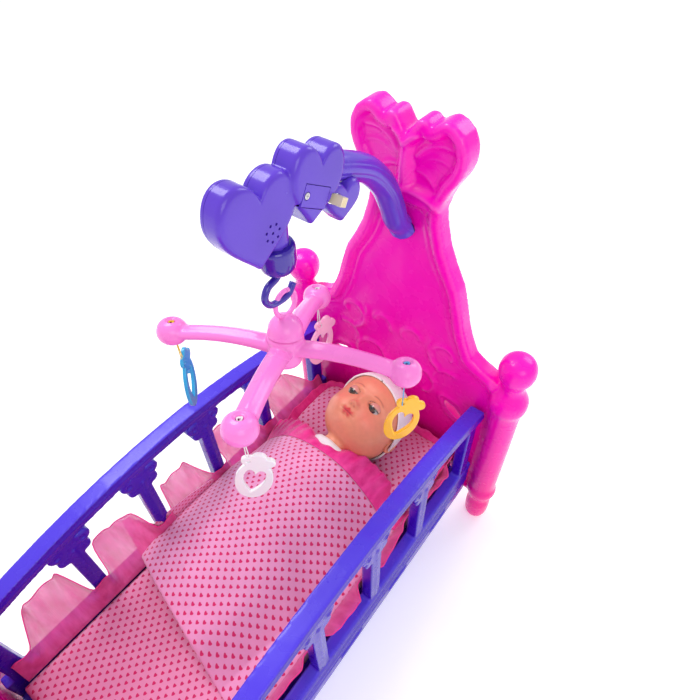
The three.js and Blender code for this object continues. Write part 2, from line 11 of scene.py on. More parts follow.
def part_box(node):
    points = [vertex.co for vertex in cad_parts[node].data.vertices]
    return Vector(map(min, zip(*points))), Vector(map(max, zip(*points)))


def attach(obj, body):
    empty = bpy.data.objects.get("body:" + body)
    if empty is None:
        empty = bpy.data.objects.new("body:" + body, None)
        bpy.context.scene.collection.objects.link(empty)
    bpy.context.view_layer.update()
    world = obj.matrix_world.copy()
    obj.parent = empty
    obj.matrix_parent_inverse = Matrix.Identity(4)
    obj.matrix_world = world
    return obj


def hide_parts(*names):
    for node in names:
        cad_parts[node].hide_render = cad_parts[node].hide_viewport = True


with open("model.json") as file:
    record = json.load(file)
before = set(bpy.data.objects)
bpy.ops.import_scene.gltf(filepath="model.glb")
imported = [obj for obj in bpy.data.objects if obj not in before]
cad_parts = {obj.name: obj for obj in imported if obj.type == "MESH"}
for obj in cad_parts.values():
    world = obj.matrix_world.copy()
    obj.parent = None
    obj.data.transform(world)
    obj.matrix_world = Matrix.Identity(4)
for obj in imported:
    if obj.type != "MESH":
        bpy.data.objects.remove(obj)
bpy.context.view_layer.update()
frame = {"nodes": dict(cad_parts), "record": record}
NODES = frame["nodes"]
scene = bpy.context.scene
MM = 0.001


# ---------- camera ----------
CAMERA_AT = (0.2174, -0.1255, 0.6688)
CAMERA_TURN = (38.5, 47.4, -1.3)  # azimuth, elevation and roll in degrees
LENS = 28.954


def camera():
    az, el, roll = (math.radians(turn) for turn in CAMERA_TURN)
    look = Vector((-math.sin(az) * math.cos(el), math.cos(az) * math.cos(el), -math.sin(el)))
    right = Vector((math.cos(az), math.sin(az), 0))
    up = right.cross(look)
    side = right * math.cos(roll) + up * math.sin(roll)
    top = -right * math.sin(roll) + up * math.cos(roll)
    data = bpy.data.cameras.new("camera")
    data.lens, data.sensor_width = LENS, 36
    cam = bpy.data.objects.new("camera", data)
    turn = Matrix((side, top, -look)).transposed().to_4x4()
    cam.matrix_world = Matrix.Translation(CAMERA_AT) @ turn
    scene.collection.objects.link(cam)
    scene.camera = cam


camera()


# ---------- materials ----------
class Nodes:
    """A material's node tree, with a short way to add and join nodes."""

    def __init__(self, name):
        self.material = bpy.data.materials.new(name)
        self.material.use_nodes = True
        self.tree = self.material.node_tree
        self.shader = self.tree.nodes["Principled BSDF"]

    def add(self, kind, **settings):
        node = self.tree.nodes.new("ShaderNode" + kind)
        for key, value in settings.items():
            setattr(node, key, value)
        return node

    def link(self, a, b):
        self.tree.links.new(a, b)

    def math(self, operation, *inputs):
        node = self.add("Math", operation=operation)
        for i, value in enumerate(inputs):
            if isinstance(value, (int, float)):
                node.inputs[i].default_value = value
            else:
                self.link(value, node.inputs[i])
        return node.outputs[0]

    def noise(self, scale, detail=3.0, vector=None):
        node = self.add("TexNoise")
        node.inputs["Scale"].default_value = scale
        node.inputs["Detail"].default_value = detail
        if vector is None:
            vector = self.add("TexCoord").outputs["Object"]
        self.link(vector, node.inputs["Vector"])
        return node.outputs["Fac"]

    def ramp(self, factor, low, high, start=0.0, end=1.0):
        node = self.add("ValToRGB")
        node.color_ramp.elements[0].position = start
        node.color_ramp.elements[1].position = end
        node.color_ramp.elements[0].color = (*low, 1)
        node.color_ramp.elements[1].color = (*high, 1)
        self.link(factor, node.inputs["Fac"])
        return node.outputs["Color"]

    def mix(self, factor, a, b, blend="MIX"):
        node = self.add("Mix", data_type="RGBA", blend_type=blend)
        for socket, value in ((node.inputs[0], factor), (node.inputs[6], a), (node.inputs[7], b)):
            if isinstance(value, (int, float)):
                socket.default_value = value
            elif isinstance(value, tuple):
                socket.default_value = (*value, 1)
            else:
                self.link(value, socket)
        return node.outputs[2]

    def bump(self, height, strength, distance):
        node = self.add("Bump")
        node.inputs["Strength"].default_value = strength
        node.inputs["Distance"].default_value = distance
        self.link(height, node.inputs["Height"])
        self.link(node.outputs["Normal"], self.shader.inputs["Normal"])

    def moulded_surface(self, smoothest, roughest, slow, strength):
        """The sheen of moulded plastic: drifting gloss, and orange peel over slow waves."""
        gloss = self.ramp(self.noise(60, 4), (smoothest,) * 3, (roughest,) * 3, 0.3, 0.7)
        self.link(gloss, self.shader.inputs["Roughness"])
        waves = self.math("MULTIPLY", self.noise(slow, 2), 2.5)
        self.bump(self.math("ADD", self.noise(420, 2), waves), strength, 0.0003)

    def set(self, **values):
        for key, value in values.items():
            name = {"specular": "Specular IOR Level", "coat": "Coat Weight", "coat_rough": "Coat Roughness",
                    "sheen": "Sheen Weight",
                    "rough": "Roughness", "metal": "Metallic", "ior": "IOR",
                    "glow": "Emission Strength", "subsurface": "Subsurface Weight",
                    "sheen_rough": "Sheen Roughness"}[key]
            self.shader.inputs[name].default_value = value


def plastic(name, color, rough=0.25, vary=0.12, coat=0.35, subsurface=0.0):
    """Moulded plastic: slow colour drift, faint flow marks and fine orange-peel bump."""
    m = Nodes(name)
    darker = tuple(c * (1 - vary) for c in color)
    lighter = tuple(min(1, c * (1 + vary) + 0.01) for c in color)
    drift = m.noise(14, 2)
    m.link(m.ramp(drift, darker, lighter, 0.3, 0.7), m.shader.inputs["Base Color"])
    m.moulded_surface(rough * 0.8, rough * 1.25, 45, 0.18)
    m.set(coat=coat, coat_rough=0.08, ior=1.5, specular=0.35)
    if subsurface:
        m.set(subsurface=subsurface)
        m.shader.inputs["Subsurface Radius"].default_value = (0.01, 0.003, 0.006)
        m.shader.inputs["Subsurface Scale"].default_value = 0.6
    return m.material


def metal(name, color, rough):
    m = Nodes(name)
    darker = tuple(c * 0.8 for c in color)
    m.link(m.ramp(m.noise(300, 4), darker, color, 0.3, 0.7), m.shader.inputs["Base Color"])
    m.bump(m.noise(1500, 2), 0.25, 0.0001)
    m.set(metal=1.0, rough=rough)
    return m.material


def weave_height(m, vector, pitch):
    """Over-and-under threads of a plain weave, from a vector in metres."""
    split = m.add("SeparateXYZ")
    m.link(vector, split.inputs[0])
    turns = 2 * math.pi / pitch
    a = m.math("SINE", m.math("MULTIPLY", split.outputs[0], turns))
    b = m.math("SINE", m.math("MULTIPLY", split.outputs[1], turns))
    return m.math("ADD", m.math("MULTIPLY", a, b), m.math("MULTIPLY", m.noise(900, 2, vector), 0.8))


def cotton(name, base, print_color=None, pitch=0.0080, uv=False, size=0.19):
    """Plain-woven cotton, with an optional staggered print of small hearts."""
    m = Nodes(name)
    coord = m.add("TexCoord").outputs["UV" if uv else "Object"]
    darker = tuple(c * 0.86 for c in base)
    color = m.ramp(m.noise(30, 4, coord), darker, base, 0.25, 0.75)
    if print_color:
        split = m.add("SeparateXYZ")
        m.link(coord, split.inputs[0])
        across = m.math("DIVIDE", split.outputs[0], pitch)
        rows = m.math("DIVIDE", split.outputs[1], pitch * 0.62)
        odd = m.math("MULTIPLY", m.math("MODULO", m.math("FLOOR", m.math("ADD", rows, 1000.0)), 2.0), 0.5)
        fx = m.math("SUBTRACT", m.math("FRACT", m.math("ADD", m.math("ADD", across, 1000.0), odd)), 0.5)
        fy = m.math("MULTIPLY", m.math("SUBTRACT", m.math("FRACT", m.math("ADD", rows, 1000.0)), 0.5), 0.62)
        reach = m.math("ABSOLUTE", fx)
        fy = m.math("ADD", m.math("SUBTRACT", fy, m.math("MULTIPLY", reach, 0.62)), 0.04)
        far = m.math("SQRT", m.math("ADD", m.math("MULTIPLY", fx, fx), m.math("MULTIPLY", fy, fy)))
        ink = m.ramp(far, (1, 1, 1), (0, 0, 0), size - 0.02, size + 0.02)
        color = m.mix(ink, color, print_color)
    m.link(color, m.shader.inputs["Base Color"])
    m.bump(weave_height(m, coord, 0.0009), 0.35, 0.0002)
    m.set(rough=0.85, sheen=0.35, sheen_rough=0.4)
    return m.material


def organza(name, base, alpha, spread=0.12):
    """Sheer gathered cloth: fine ribs, fold crests painted lighter and fold hollows darker as painted light and shade,
    partly clear.
    """
    m = Nodes(name)
    coord = m.add("TexCoord").outputs["UV"]
    split = m.add("SeparateXYZ")
    m.link(coord, split.inputs[0])
    folds = m.noise(90, 3, coord)
    # painted light and shade: the colour follows the fold noise that also drives the bump, so crests are lighter and
    # hollows darker
    m.link(m.ramp(folds, tuple(c * 0.8 for c in base), tuple(min(1, c * 1.15 + 0.05) for c in base),
                  0.3, 0.7), m.shader.inputs["Base Color"])
    ribs = m.math("SINE", m.math("MULTIPLY", split.outputs[0], 2 * math.pi / 0.0011))
    m.bump(m.math("ADD", ribs, m.math("MULTIPLY", folds, 3.0)), 0.4, 0.0002)
    grain = m.ramp(m.noise(50, 3, coord), (alpha - spread,) * 3, (alpha + spread,) * 3, 0.3, 0.7)
    m.link(grain, m.shader.inputs["Alpha"])
    m.set(rough=0.42, sheen=0.6, sheen_rough=0.3)
    return m.material


def painted(name, rough, coat, subsurface=0.0, bump=0.1):
    """A material whose colour is worked out for each vertex, such as a doll's painted face."""
    m = Nodes(name)
    paint = m.add("VertexColor", layer_name="paint").outputs["Color"]
    speck = m.ramp(m.noise(220, 3), (0.93,) * 3, (1.0,) * 3, 0.3, 0.7)
    m.link(m.mix(1.0, paint, speck, "MULTIPLY"), m.shader.inputs["Base Color"])
    m.bump(m.noise(900, 2), bump, 0.0001)
    m.set(rough=rough, coat=coat, coat_rough=0.25)
    if subsurface:
        m.set(subsurface=subsurface)
        m.shader.inputs["Subsurface Radius"].default_value = (0.01, 0.004, 0.002)
        m.shader.inputs["Subsurface Scale"].default_value = 0.35
    return m.material


PINK_PRINT = (0.66, 0.012, 0.13)
MAT = {
    "magenta_plastic": plastic("magenta_plastic", (1.0, 0.0, 0.48), 0.22, 0.06, 0.15),
    "violet_plastic": plastic("violet_plastic", (0.085, 0.032, 0.80), 0.24, 0.15, 0.4),
    "box_plastic": plastic("box_plastic", (0.135, 0.06, 0.66), 0.24, 0.12, 0.35),
    "pink_plastic": plastic("pink_plastic", (0.93, 0.22, 0.66), 0.24, 0.06, 0.25, 0.05),
    "cream_plastic": plastic("cream_plastic", (0.83, 0.72, 0.50), 0.35),
    "dark_plastic": plastic("dark_plastic", (0.02, 0.02, 0.024), 0.5),
    "white_plastic": plastic("white_plastic", (0.82, 0.82, 0.82), 0.3),
    "board_green": plastic("board_green", (0.02, 0.2, 0.06), 0.4),
    "bright_steel": metal("bright_steel", (0.72, 0.72, 0.74), 0.28),
    "printed_cotton": cotton("printed_cotton", (0.90, 0.32, 0.54), PINK_PRINT),
    "doll_cloth": cotton("doll_cloth", (0.93, 0.68, 0.78)),
    "white_knit": cotton("white_knit", (0.93, 0.88, 0.90)),
    "toy_blue_plastic": plastic("toy_blue_plastic", (0.02, 0.42, 0.75), 0.2, 0.08, 0.5, 0.1),
    "toy_white_plastic": plastic("toy_white_plastic", (0.88, 0.86, 0.90), 0.2, 0.04, 0.5, 0.1),
    "toy_yellow_plastic": plastic("toy_yellow_plastic", (1.0, 0.50, 0.0), 0.2, 0.08, 0.5, 0.1),
    "toy_pink_plastic": plastic("toy_pink_plastic", (0.95, 0.40, 0.62), 0.2, 0.08, 0.5, 0.1),
}
PRINT_UV = cotton("printed_cotton_cut", (0.90, 0.37, 0.63), PINK_PRINT, uv=True)
HOT_ORGANZA = organza("hot_organza", (1.0, 0.012, 0.30), 0.96, 0.04)
PALE_ORGANZA = organza("pale_organza", (1.0, 0.10, 0.40), 0.62, 0.1)
HEM = cotton("organza_hem", (0.93, 0.03, 0.30))
SKIN = painted("painted_vinyl", 0.42, 0.12, 0.12)
EYE_PAINT = painted("painted_eye", 0.12, 0.8, 0.0, 0.02)
VINYL = plastic("skin_vinyl", (0.76, 0.30, 0.185), 0.45, 0.05, 0.1, 0.1)

for part in frame["record"]["subparts"]:
    node = NODES[part["node"]]
    node.data.materials.clear()
    node.data.materials.append(MAT.get(part["material_slot"], VINYL))


# ---------- mesh tools, in mm ----------
def mesh_piece(name, verts, faces, material=None, smooth=True):
    data = bpy.data.meshes.new(name)
    data.from_pydata([tuple(float(c) * MM for c in v) for v in verts], [], faces)
    data.validate()
    for polygon in data.polygons:
        polygon.use_smooth = smooth
    piece = linked(name, data)
    if material:
        data.materials.append(material)
    return piece


def linked(name, data):
    piece = bpy.data.objects.new(name, data)
    scene.collection.objects.link(piece)
    return piece


def shade_smooth(piece):
    for polygon in piece.data.polygons:
        polygon.use_smooth = True


def turn_in_mm(piece, matrix):
    """Moves the mesh by a matrix whose lengths are in mm."""
    piece.data.transform(Matrix.Scale(MM, 4) @ matrix @ Matrix.Scale(1 / MM, 4))


def circle(x, y, r, n):
    return [(x + r * math.cos(2 * math.pi * i / n), y + r * math.sin(2 * math.pi * i / n))
            for i in range(n)]


def outward(piece):
    bm = bmesh.new()
    bm.from_mesh(piece.data)
    bmesh.ops.recalc_face_normals(bm, faces=bm.faces)
    bm.to_mesh(piece.data)
    bm.free()
    return piece


def grid_faces(rows, cols, wrap=False):
    faces = []
    for i in range(rows - 1):
        for j in range(cols if wrap else cols - 1):
            k = (j + 1) % cols
            faces.append((i * cols + j, i * cols + k, (i + 1) * cols + k, (i + 1) * cols + j))
    return faces


def lathe(name, profile, at=(0, 0, 0), segments=64, turn=None):
    """A closed form turned about Z from [radius, z] pairs."""
    fine = smooth_line(profile, 3)
    verts = []
    for r, z in fine:
        for i in range(segments):
            a = 2 * math.pi * i / segments
            verts.append(Vector((r * math.cos(a), r * math.sin(a), z)))
    faces = grid_faces(len(fine), segments, True)
    faces.append(tuple(range(segments))[::-1])
    faces.append(tuple(range((len(fine) - 1) * segments, len(fine) * segments)))
    if turn is not None:
        verts = [turn @ v for v in verts]
    return outward(mesh_piece(name, [v + Vector(at) for v in verts], faces))


def smooth_line(points, steps):
    """Catmull-Rom points through a list, with `steps` spans between each pair."""
    p = [np.array(q, float) for q in points]
    p = [2 * p[0] - p[1], *p, 2 * p[-1] - p[-2]]
    out = []
    for i in range(1, len(p) - 2):
        for s in range(steps):
            t = s / steps
            out.append(0.5 * (2 * p[i] + (p[i + 1] - p[i - 1]) * t
                              + (2 * p[i - 1] - 5 * p[i] + 4 * p[i + 1] - p[i + 2]) * t * t
                              + (3 * p[i] - p[i - 1] - 3 * p[i + 1] + p[i + 2]) * t ** 3))
    return [*out, p[-2]]


def sweep(name, points, radius, section=None, segments=28, steps=6, up=(1, 0, 0)):
    """A closed bar along points. radius is a number or a function of 0..1, section scales its two axes."""
    line = [Vector(p) for p in smooth_line(points, steps)]
    wide, high = section or (1, 1)
    verts = []
    for i, p in enumerate(line):
        ahead = (line[min(i + 1, len(line) - 1)] - line[max(i - 1, 0)]).normalized()
        side = (Vector(up) - ahead * ahead.dot(Vector(up))).normalized()
        lift = ahead.cross(side)
        t = i / (len(line) - 1)
        r = radius(t) if callable(radius) else radius
        for j in range(segments):
            a = 2 * math.pi * j / segments
            verts.append(p + side * (wide * r * math.cos(a)) + lift * (high * r * math.sin(a)))
    faces = grid_faces(len(line), segments, True)
    faces.append(tuple(range(segments))[::-1])
    faces.append(tuple(range((len(line) - 1) * segments, len(line) * segments)))
    return outward(mesh_piece(name, verts, faces))


def extruded(name, outline, x0, x1, plane="yz"):
    """An outline with thickness. plane says which two axes the outline is drawn in."""
    def place(a, b, c):
        return {"yz": (c, a, b), "xz": (a, c, b), "xy": (a, b, c)}[plane]
    n = len(outline)
    verts = [place(a, b, x0) for a, b in outline] + [place(a, b, x1) for a, b in outline]
    faces = [(i, (i + 1) % n, (i + 1) % n + n, i + n) for i in range(n)]
    faces += [tuple(range(n))[::-1], tuple(range(n, 2 * n))]
    return outward(mesh_piece(name, verts, faces, smooth=False))


def copy_of(node, name):
    return linked(name, NODES[node].data.copy())


def apply_modifiers(piece):
    graph = bpy.context.evaluated_depsgraph_get()
    graph.update()
    data = bpy.data.meshes.new_from_object(piece.evaluated_get(graph))
    piece.modifiers.clear()
    piece.data = data


def joined(first, *others):
    bm = bmesh.new()
    for piece in (first, *others):
        start = len(bm.verts)
        bm.from_mesh(piece.data)
        bm.verts.ensure_lookup_table()
        for v in bm.verts[start:]:
            v.co = piece.matrix_world @ v.co
    bm.to_mesh(first.data)
    bm.free()
    first.matrix_world = Matrix.Identity(4)
    for piece in others:
        bpy.data.objects.remove(piece)
    return first


def boolean(piece, cutters, operation="DIFFERENCE"):
    for cutter in cutters:
        modifier = piece.modifiers.new("cut", "BOOLEAN")
        modifier.operation, modifier.object, modifier.solver = operation, cutter, "MANIFOLD"
        apply_modifiers(piece)
        bpy.data.objects.remove(cutter)
    return piece


def moulded(piece, voxel, rounds, factor=0.5):
    """Closes the joined solids into one rounded moulding."""
    remesh = piece.modifiers.new("skin", "REMESH")
    remesh.mode, remesh.voxel_size = "VOXEL", voxel * MM
    if rounds:
        relax = piece.modifiers.new("relax", "SMOOTH")
        relax.factor, relax.iterations = factor, rounds
    apply_modifiers(piece)
    shade_smooth(piece)
    return piece


def points_of(piece):
    co = np.zeros(len(piece.data.vertices) * 3, np.float32)
    piece.data.vertices.foreach_get("co", co)
    return co.reshape(-1, 3).astype(float) / MM


def normals_of(piece):
    co = np.zeros(len(piece.data.vertices) * 3, np.float32)
    piece.data.vertices.foreach_get("normal", co)
    return co.reshape(-1, 3).astype(float)


def move_to(piece, co):
    piece.data.vertices.foreach_set("co", (co * MM).astype(np.float32).ravel())
    piece.data.update()


def paint(piece, colors):
    layer = piece.data.color_attributes.new("paint", "FLOAT_COLOR", "POINT")
    rgba = np.ones((len(colors), 4), np.float32)
    rgba[:, :3] = colors
    layer.data.foreach_set("color", rgba.ravel())


def finish_piece(piece, body, slot, material=None, nodes=()):
    piece.data.materials.clear()
    piece.data.materials.append(material or MAT[slot])
    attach(piece, body)
    if nodes:
        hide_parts(*nodes)
    return piece


def distance(px, pz, line):
    """Distance of each point from a polyline."""
    best = np.full(px.shape, 1e9)
    for (ax, az), (bx, bz) in zip(line, line[1:]):
        dx, dz = bx - ax, bz - az
        t = np.clip(((px - ax) * dx + (pz - az) * dz) / (dx * dx + dz * dz + 1e-9), 0, 1)
        best = np.minimum(best, np.hypot(px - ax - t * dx, pz - az - t * dz))
    return best


def bead(d, width, height):
    return height * np.exp(-(d / width) ** 2)


def turned_to(at, pitch, yaw):
    """The CAD's ZYX turn of a group, as a matrix in mm."""
    return (Matrix.Translation(at) @ Matrix.Rotation(math.radians(yaw), 4, "Z")
            @ Matrix.Rotation(math.radians(pitch), 4, "X"))


# ---------- strings, doubled through each toy's hole ----------
MOBILE_TURN = (Matrix.Translation((0, 77, 406)) @ Matrix.Rotation(math.radians(-5), 4, "Y")
               @ Matrix.Rotation(math.radians(-14), 4, "X"))
ARM_ANGLES = [205.5 + 90 * i for i in range(4)]
THREADS = {"blue": (0.85, 0.62, 0.02), "white": (0.85, 0.85, 0.85), "yellow": (0.12, 0.45, 0.80),
           "pink": (0.85, 0.85, 0.85)}


def string(color, index):
    a = math.radians(ARM_ANGLES[index])
    low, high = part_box(f"string_{color}")
    x, y = (low.x + high.x) / 2 / MM, (low.y + high.y) / 2 / MM
    top, bottom = high.z / MM, low.z / MM - 6.4
    side = Vector((math.cos(a), math.sin(a), 0))
    half = 0.55
    loop = [(-half, top), (-half, top - 6), (-half * 1.5, top - 13), (-half * 2, bottom + 6),
            (-2.4, bottom + 1.8),
            (-1.4, bottom - 0.6), (0, bottom - 1.5), (1.4, bottom - 0.6), (2.4, bottom + 1.8), (half * 2, bottom + 6),
            (half * 1.5, top - 13), (half, top - 6), (half, top)]
    across = Vector((-side.y, side.x, 0))
    points = [Vector((x, y, 0)) + across * u + Vector((0, 0, z)) for u, z in loop]
    fine = [Vector(p) for p in smooth_line(points, 4)]
    curve = bpy.data.curves.new(f"thread_{color}", "CURVE")
    curve.dimensions, curve.bevel_depth, curve.bevel_resolution = "3D", 0.4 * MM, 4
    curve.use_fill_caps = True
    spline = curve.splines.new("POLY")
    spline.points.add(len(fine) - 1)
    for point, p in zip(spline.points, fine):
        point.co = (*(p * MM), 1)
    piece = linked(f"thread_{color}", curve)
    curve.materials.append(cotton(f"thread_{color}", THREADS[color]))
    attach(piece, f"toy_{color}")
    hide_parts(f"string_{color}")


for number, tint in enumerate(THREADS):
    string(tint, number)


# ---------- end boards, blow moulded with their posts ----------
POST = [(0, 0), (9, 0.5), (12.6, 7), (14, 18), (14, 32), (12.4, 43), (16.6, 54), (16.4, 63), (14.6, 69),
        (14.8, 100), (15.4, 160), (15.8, 208), (19, 221), (19.3, 228), (18.6, 233), (15, 240), (11.4, 247),
        (11.9, 255), (16.4, 263.5), (18, 272.5), (16.2, 281), (11, 287), (0.5, 290)]
FLANK = smooth_line([(118, 246), (112, 252), (89, 262), (81, 276), (73, 296), (63, 333), (46, 365), (37, 395),
                     (35.5, 408)], 4)
WING = smooth_line([(35.5, 408), (37, 416), (43, 430), (51, 444), (54, 460), (48, 476), (33, 484), (21, 476),
                    (16, 481), (10, 480), (6, 474), (0, 466)], 4)
FOOT_CROWN = smooth_line([(118, 246), (112, 252), (89, 262), (72, 277), (45, 293), (20, 301), (0, 302)], 4)
BOARD_Y, POST_X = 232, 130


def curl(cx, cz, r0, r1, a0, a1, n=26):
    """A scroll whose radius runs from r0 to r1 as its angle runs from a0 to a1, in degrees."""
    out = []
    for i in range(n):
        t = i / (n - 1)
        a, r = math.radians(a0 + (a1 - a0) * t), r0 + (r1 - r0) * t
        out.append((cx + r * math.cos(a), cz + r * math.sin(a)))
    return out


def step(t, edge):
    t = np.clip(t / edge, 0, 1)
    return t * t * (3 - 2 * t)


def leaf(ax, z):
    outline = smooth_line([(64, 184), (80, 181), (91, 163), (76, 166), (64, 184)], 5)
    return bead(distance(ax, z, outline) - 5, 2.6, 1.6)


def head_relief(x, z):
    """How far the headboard's front stands out at each point."""
    ax = np.abs(x)
    edge = distance(ax, z, FLANK)
    out = bead(edge - 7, 5.5, 2.2) - 4.0 * step(edge - 10, 4) + bead(edge - 17, 1.8, 1.3)
    for line, high in ((curl(0, 222, 34, 22, 205, 325), 2.2), (curl(60, 246, 22, 6, 250, -10), 2.2),
                       (curl(66, 246, 30, 22, 150, 230), 1.8), (curl(34, 190, 26, 10, 120, -60), 2.0),
                       (curl(20, 250, 14, 8, 200, 20), 2.0), (curl(62, 208, 20, 12, 60, 200), 1.8)):
        out += bead(distance(ax, z, line), 2.6, high)
    out += leaf(ax, z)
    out *= step(408 - z, 10)
    ridge = bead(distance(x, z, smooth_line([(-36, 414), (-18, 419), (0, 421), (18, 419), (36, 414)], 4)), 3.6, 3.4)
    inside = distance(ax, z, WING)
    hollow = step(inside - 8.5, 3.2) * step(ax - 3.5 - 0.10 * np.abs(z - 452), 3.0) * step(z - 421, 6)
    wings = -4.6 * hollow + bead(inside - 5, 4.0, 1.6)
    for line, width, high in (([(9, 449), (18, 459), (30, 464), (43, 463)], 2.6, 2.6),
                              ([(11, 444), (20, 450), (30, 452), (40, 449)], 1.5, 1.3),
                              ([(8, 438), (18, 436), (27, 428), (31, 420)], 2.2, 2.0)):
        wings += bead(distance(ax, z, smooth_line(line, 5)), width, high) * hollow
    body = bead(np.hypot(x / 4.6, (z - 436) / 24), 0.9, 5.4)
    feelers = bead(distance(ax, z, smooth_line([(0, 458), (5, 464), (11, 467), (18, 466)], 5)), 1.6, 2.6)
    return out + (wings + body + feelers) * step(z - 404, 8) + ridge


def foot_relief(x, z):
    ax = np.abs(x)
    edge = distance(ax, z, FOOT_CROWN)
    out = bead(edge - 8, 4.4, 2.6) - 2.4 * step(edge - 10, 7)
    for line, high in ((curl(0, 190, 36, 22, 200, 330), 2.4), (curl(0, 202, 10, 24, 20, 160), 2.0),
                       (curl(52, 215, 24, 7, 250, -10), 2.4), (curl(34, 150, 26, 10, 120, -60), 2.2)):
        out += bead(distance(ax, z, line), 3.0, high)
    return out + leaf(ax, z)


def end_board(name, node, facing, relief):
    """facing is -1 where the board's decorated side looks to -Y, and 1 where it looks to +Y."""
    y = BOARD_Y if facing < 0 else -BOARD_Y
    posts = [lathe("post", POST, (s * POST_X, y, 0)) for s in (-1, 1)]
    piece = moulded(joined(copy_of(node, name), *posts), 1.7, 9)
    co, normal = points_of(piece), normals_of(piece)
    x, z = co[:, 0], co[:, 2]
    inboard = step(118 - np.abs(x), 8) * step(z - 52, 8)
    front = step(normal[:, 1] * facing - 0.25, 0.5) * inboard
    back = step(-normal[:, 1] * facing - 0.25, 0.5) * inboard
    co[:, 1] += facing * front * relief(x, z)
    co[:, 1] -= facing * back * 0.45 * relief(x, z)
    move_to(piece, co)
    settle = piece.modifiers.new("settle", "SMOOTH")
    settle.factor, settle.iterations = 0.5, 2
    apply_modifiers(piece)
    return finish_piece(piece, "cradle", "magenta_plastic", MAGENTA, (node,))


def magenta():
    """Rose plastic, redder and darker low down as painted shade, and paler on its convex rims as a painted highlight;
    its hollows keep the deeper colour.
    """
    m = Nodes("magenta_board")
    position = m.add("SeparateXYZ")
    m.link(m.add("TexCoord").outputs["Object"], position.inputs[0])
    height = m.math("ADD", position.outputs[2], m.math("MULTIPLY", m.noise(6, 2), 0.12))
    # painted shade: the colour gets darker and redder towards the bottom
    base = m.ramp(height, (0.93, 0.0, 0.26), (1.0, 0.0, 0.52), 0.10, 0.34)
    curve = m.add("NewGeometry").outputs["Pointiness"]
    # painted highlight: convex rims are mixed towards a paler pink
    rim_highlight = m.ramp(curve, (0, 0, 0), (1, 1, 1), 0.515, 0.60)
    color = m.mix(m.math("MULTIPLY", rim_highlight, 0.7), base, (1.0, 0.20, 0.66))
    m.link(color, m.shader.inputs["Base Color"])
    m.moulded_surface(0.2, 0.32, 40, 0.18)
    m.set(coat=0.12, coat_rough=0.08, specular=0.32)
    return m.material


MAGENTA = magenta()
end_board("headboard_moulding", "headboard", -1, head_relief)
end_board("footboard_moulding", "footboard", 1, foot_relief)


# ---------- side panels ----------
RAIL_MIDDLE, RAIL_INSIDE = 105.4, 98.4
SLATS = [i * 77.5 for i in (-1.5, -0.5, 0.5, 1.5)]
UPPER_LOBE = (12.5, 24)  # how far out from the slat, and down from the rail's top


def rail_top(y):
    return 203 + 36.7 * (1 - (y / 224) ** 2)


def side_panel(side, node):
    discs = []
    for at in SLATS:
        for s, off, drop, r in [(s, *lobe) for lobe in ((*UPPER_LOBE, 7.6), (9.5, 37, 6.6))
                                for s in (-1, 1)]:
            y, z = at + s * off, rail_top(at) - drop
            discs.append(extruded("disc", circle(y, z, r, 40), side * RAIL_MIDDLE - 6,
                                  side * RAIL_MIDDLE + 6))
    piece = moulded(joined(copy_of(node, "rail_" + node[11:]), *discs), 1.25, 5)
    co, normal = points_of(piece), normals_of(piece)
    outer = step(side * normal[:, 0] - 0.3, 0.4)
    inner = step(-side * normal[:, 0] - 0.3, 0.4)
    y, z = co[:, 1], co[:, 2]
    band = (z < 108) * (z > 44)
    ridges = sum(bead(z - level, 1.3, 1.1) for level in (72, 80, 88, 96))
    ridges = ridges + bead(z - 103, 2.2, 1.6)
    co[:, 0] += side * outer * band * ridges
    for at in SLATS:
        for s in (-1, 1):
            d = np.hypot(y - at - s * UPPER_LOBE[0], z - rail_top(at) + UPPER_LOBE[1])
            mark = bead(d - 4, 0.9, 0.8) - 0.7 * step(3.4 - d, 1.0)
            co[:, 0] += side * (outer - inner) * mark
        stem = (np.abs(y - at) < 7) * (z > 110) * (z < rail_top(at) - 30)
        co[:, 0] += side * (outer - inner) * stem * bead(y - at, 2.4, 1.2)
    line = bead(np.abs(z - rail_top(y) + 7), 2.2, 0.9) * (z > rail_top(y) - 15)
    co[:, 0] += side * (outer - inner) * line
    move_to(piece, co)
    finish_piece(piece, "cradle", "violet_plastic", VIOLET_RAIL, (node,))


def violet():
    """Blue-violet plastic, with a painted highlight on its upward faces and rims and painted shade on its sides."""
    m = Nodes("violet_rail")
    split = m.add("SeparateXYZ")
    m.link(m.add("NewGeometry").outputs["Normal"], split.inputs[0])
    # painted light and shade: faces that look up take the lighter blue-violet, and sides keep the darker drift colour
    # as painted shade
    up = m.ramp(split.outputs[2], (0, 0, 0), (1, 1, 1), 0.2, 0.95)
    drift = m.ramp(m.noise(12, 2), (0.030, 0.0, 0.40), (0.042, 0.002, 0.50), 0.3, 0.7)
    # painted highlight: convex rims are mixed towards a paler violet
    curve = m.add("NewGeometry").outputs["Pointiness"]
    rim_highlight = m.ramp(curve, (0, 0, 0), (1, 1, 1), 0.52, 0.62)
    color = m.mix(up, drift, (0.075, 0.040, 0.72))
    color = m.mix(m.math("MULTIPLY", rim_highlight, 0.5), color, (0.18, 0.12, 0.88))
    m.link(color, m.shader.inputs["Base Color"])
    m.moulded_surface(0.2, 0.34, 45, 0.2)
    m.set(coat=0.15, coat_rough=0.1, specular=0.35)
    return m.material


VIOLET_RAIL = violet()
side_panel(-1, "side_panel_left")
side_panel(1, "side_panel_right")


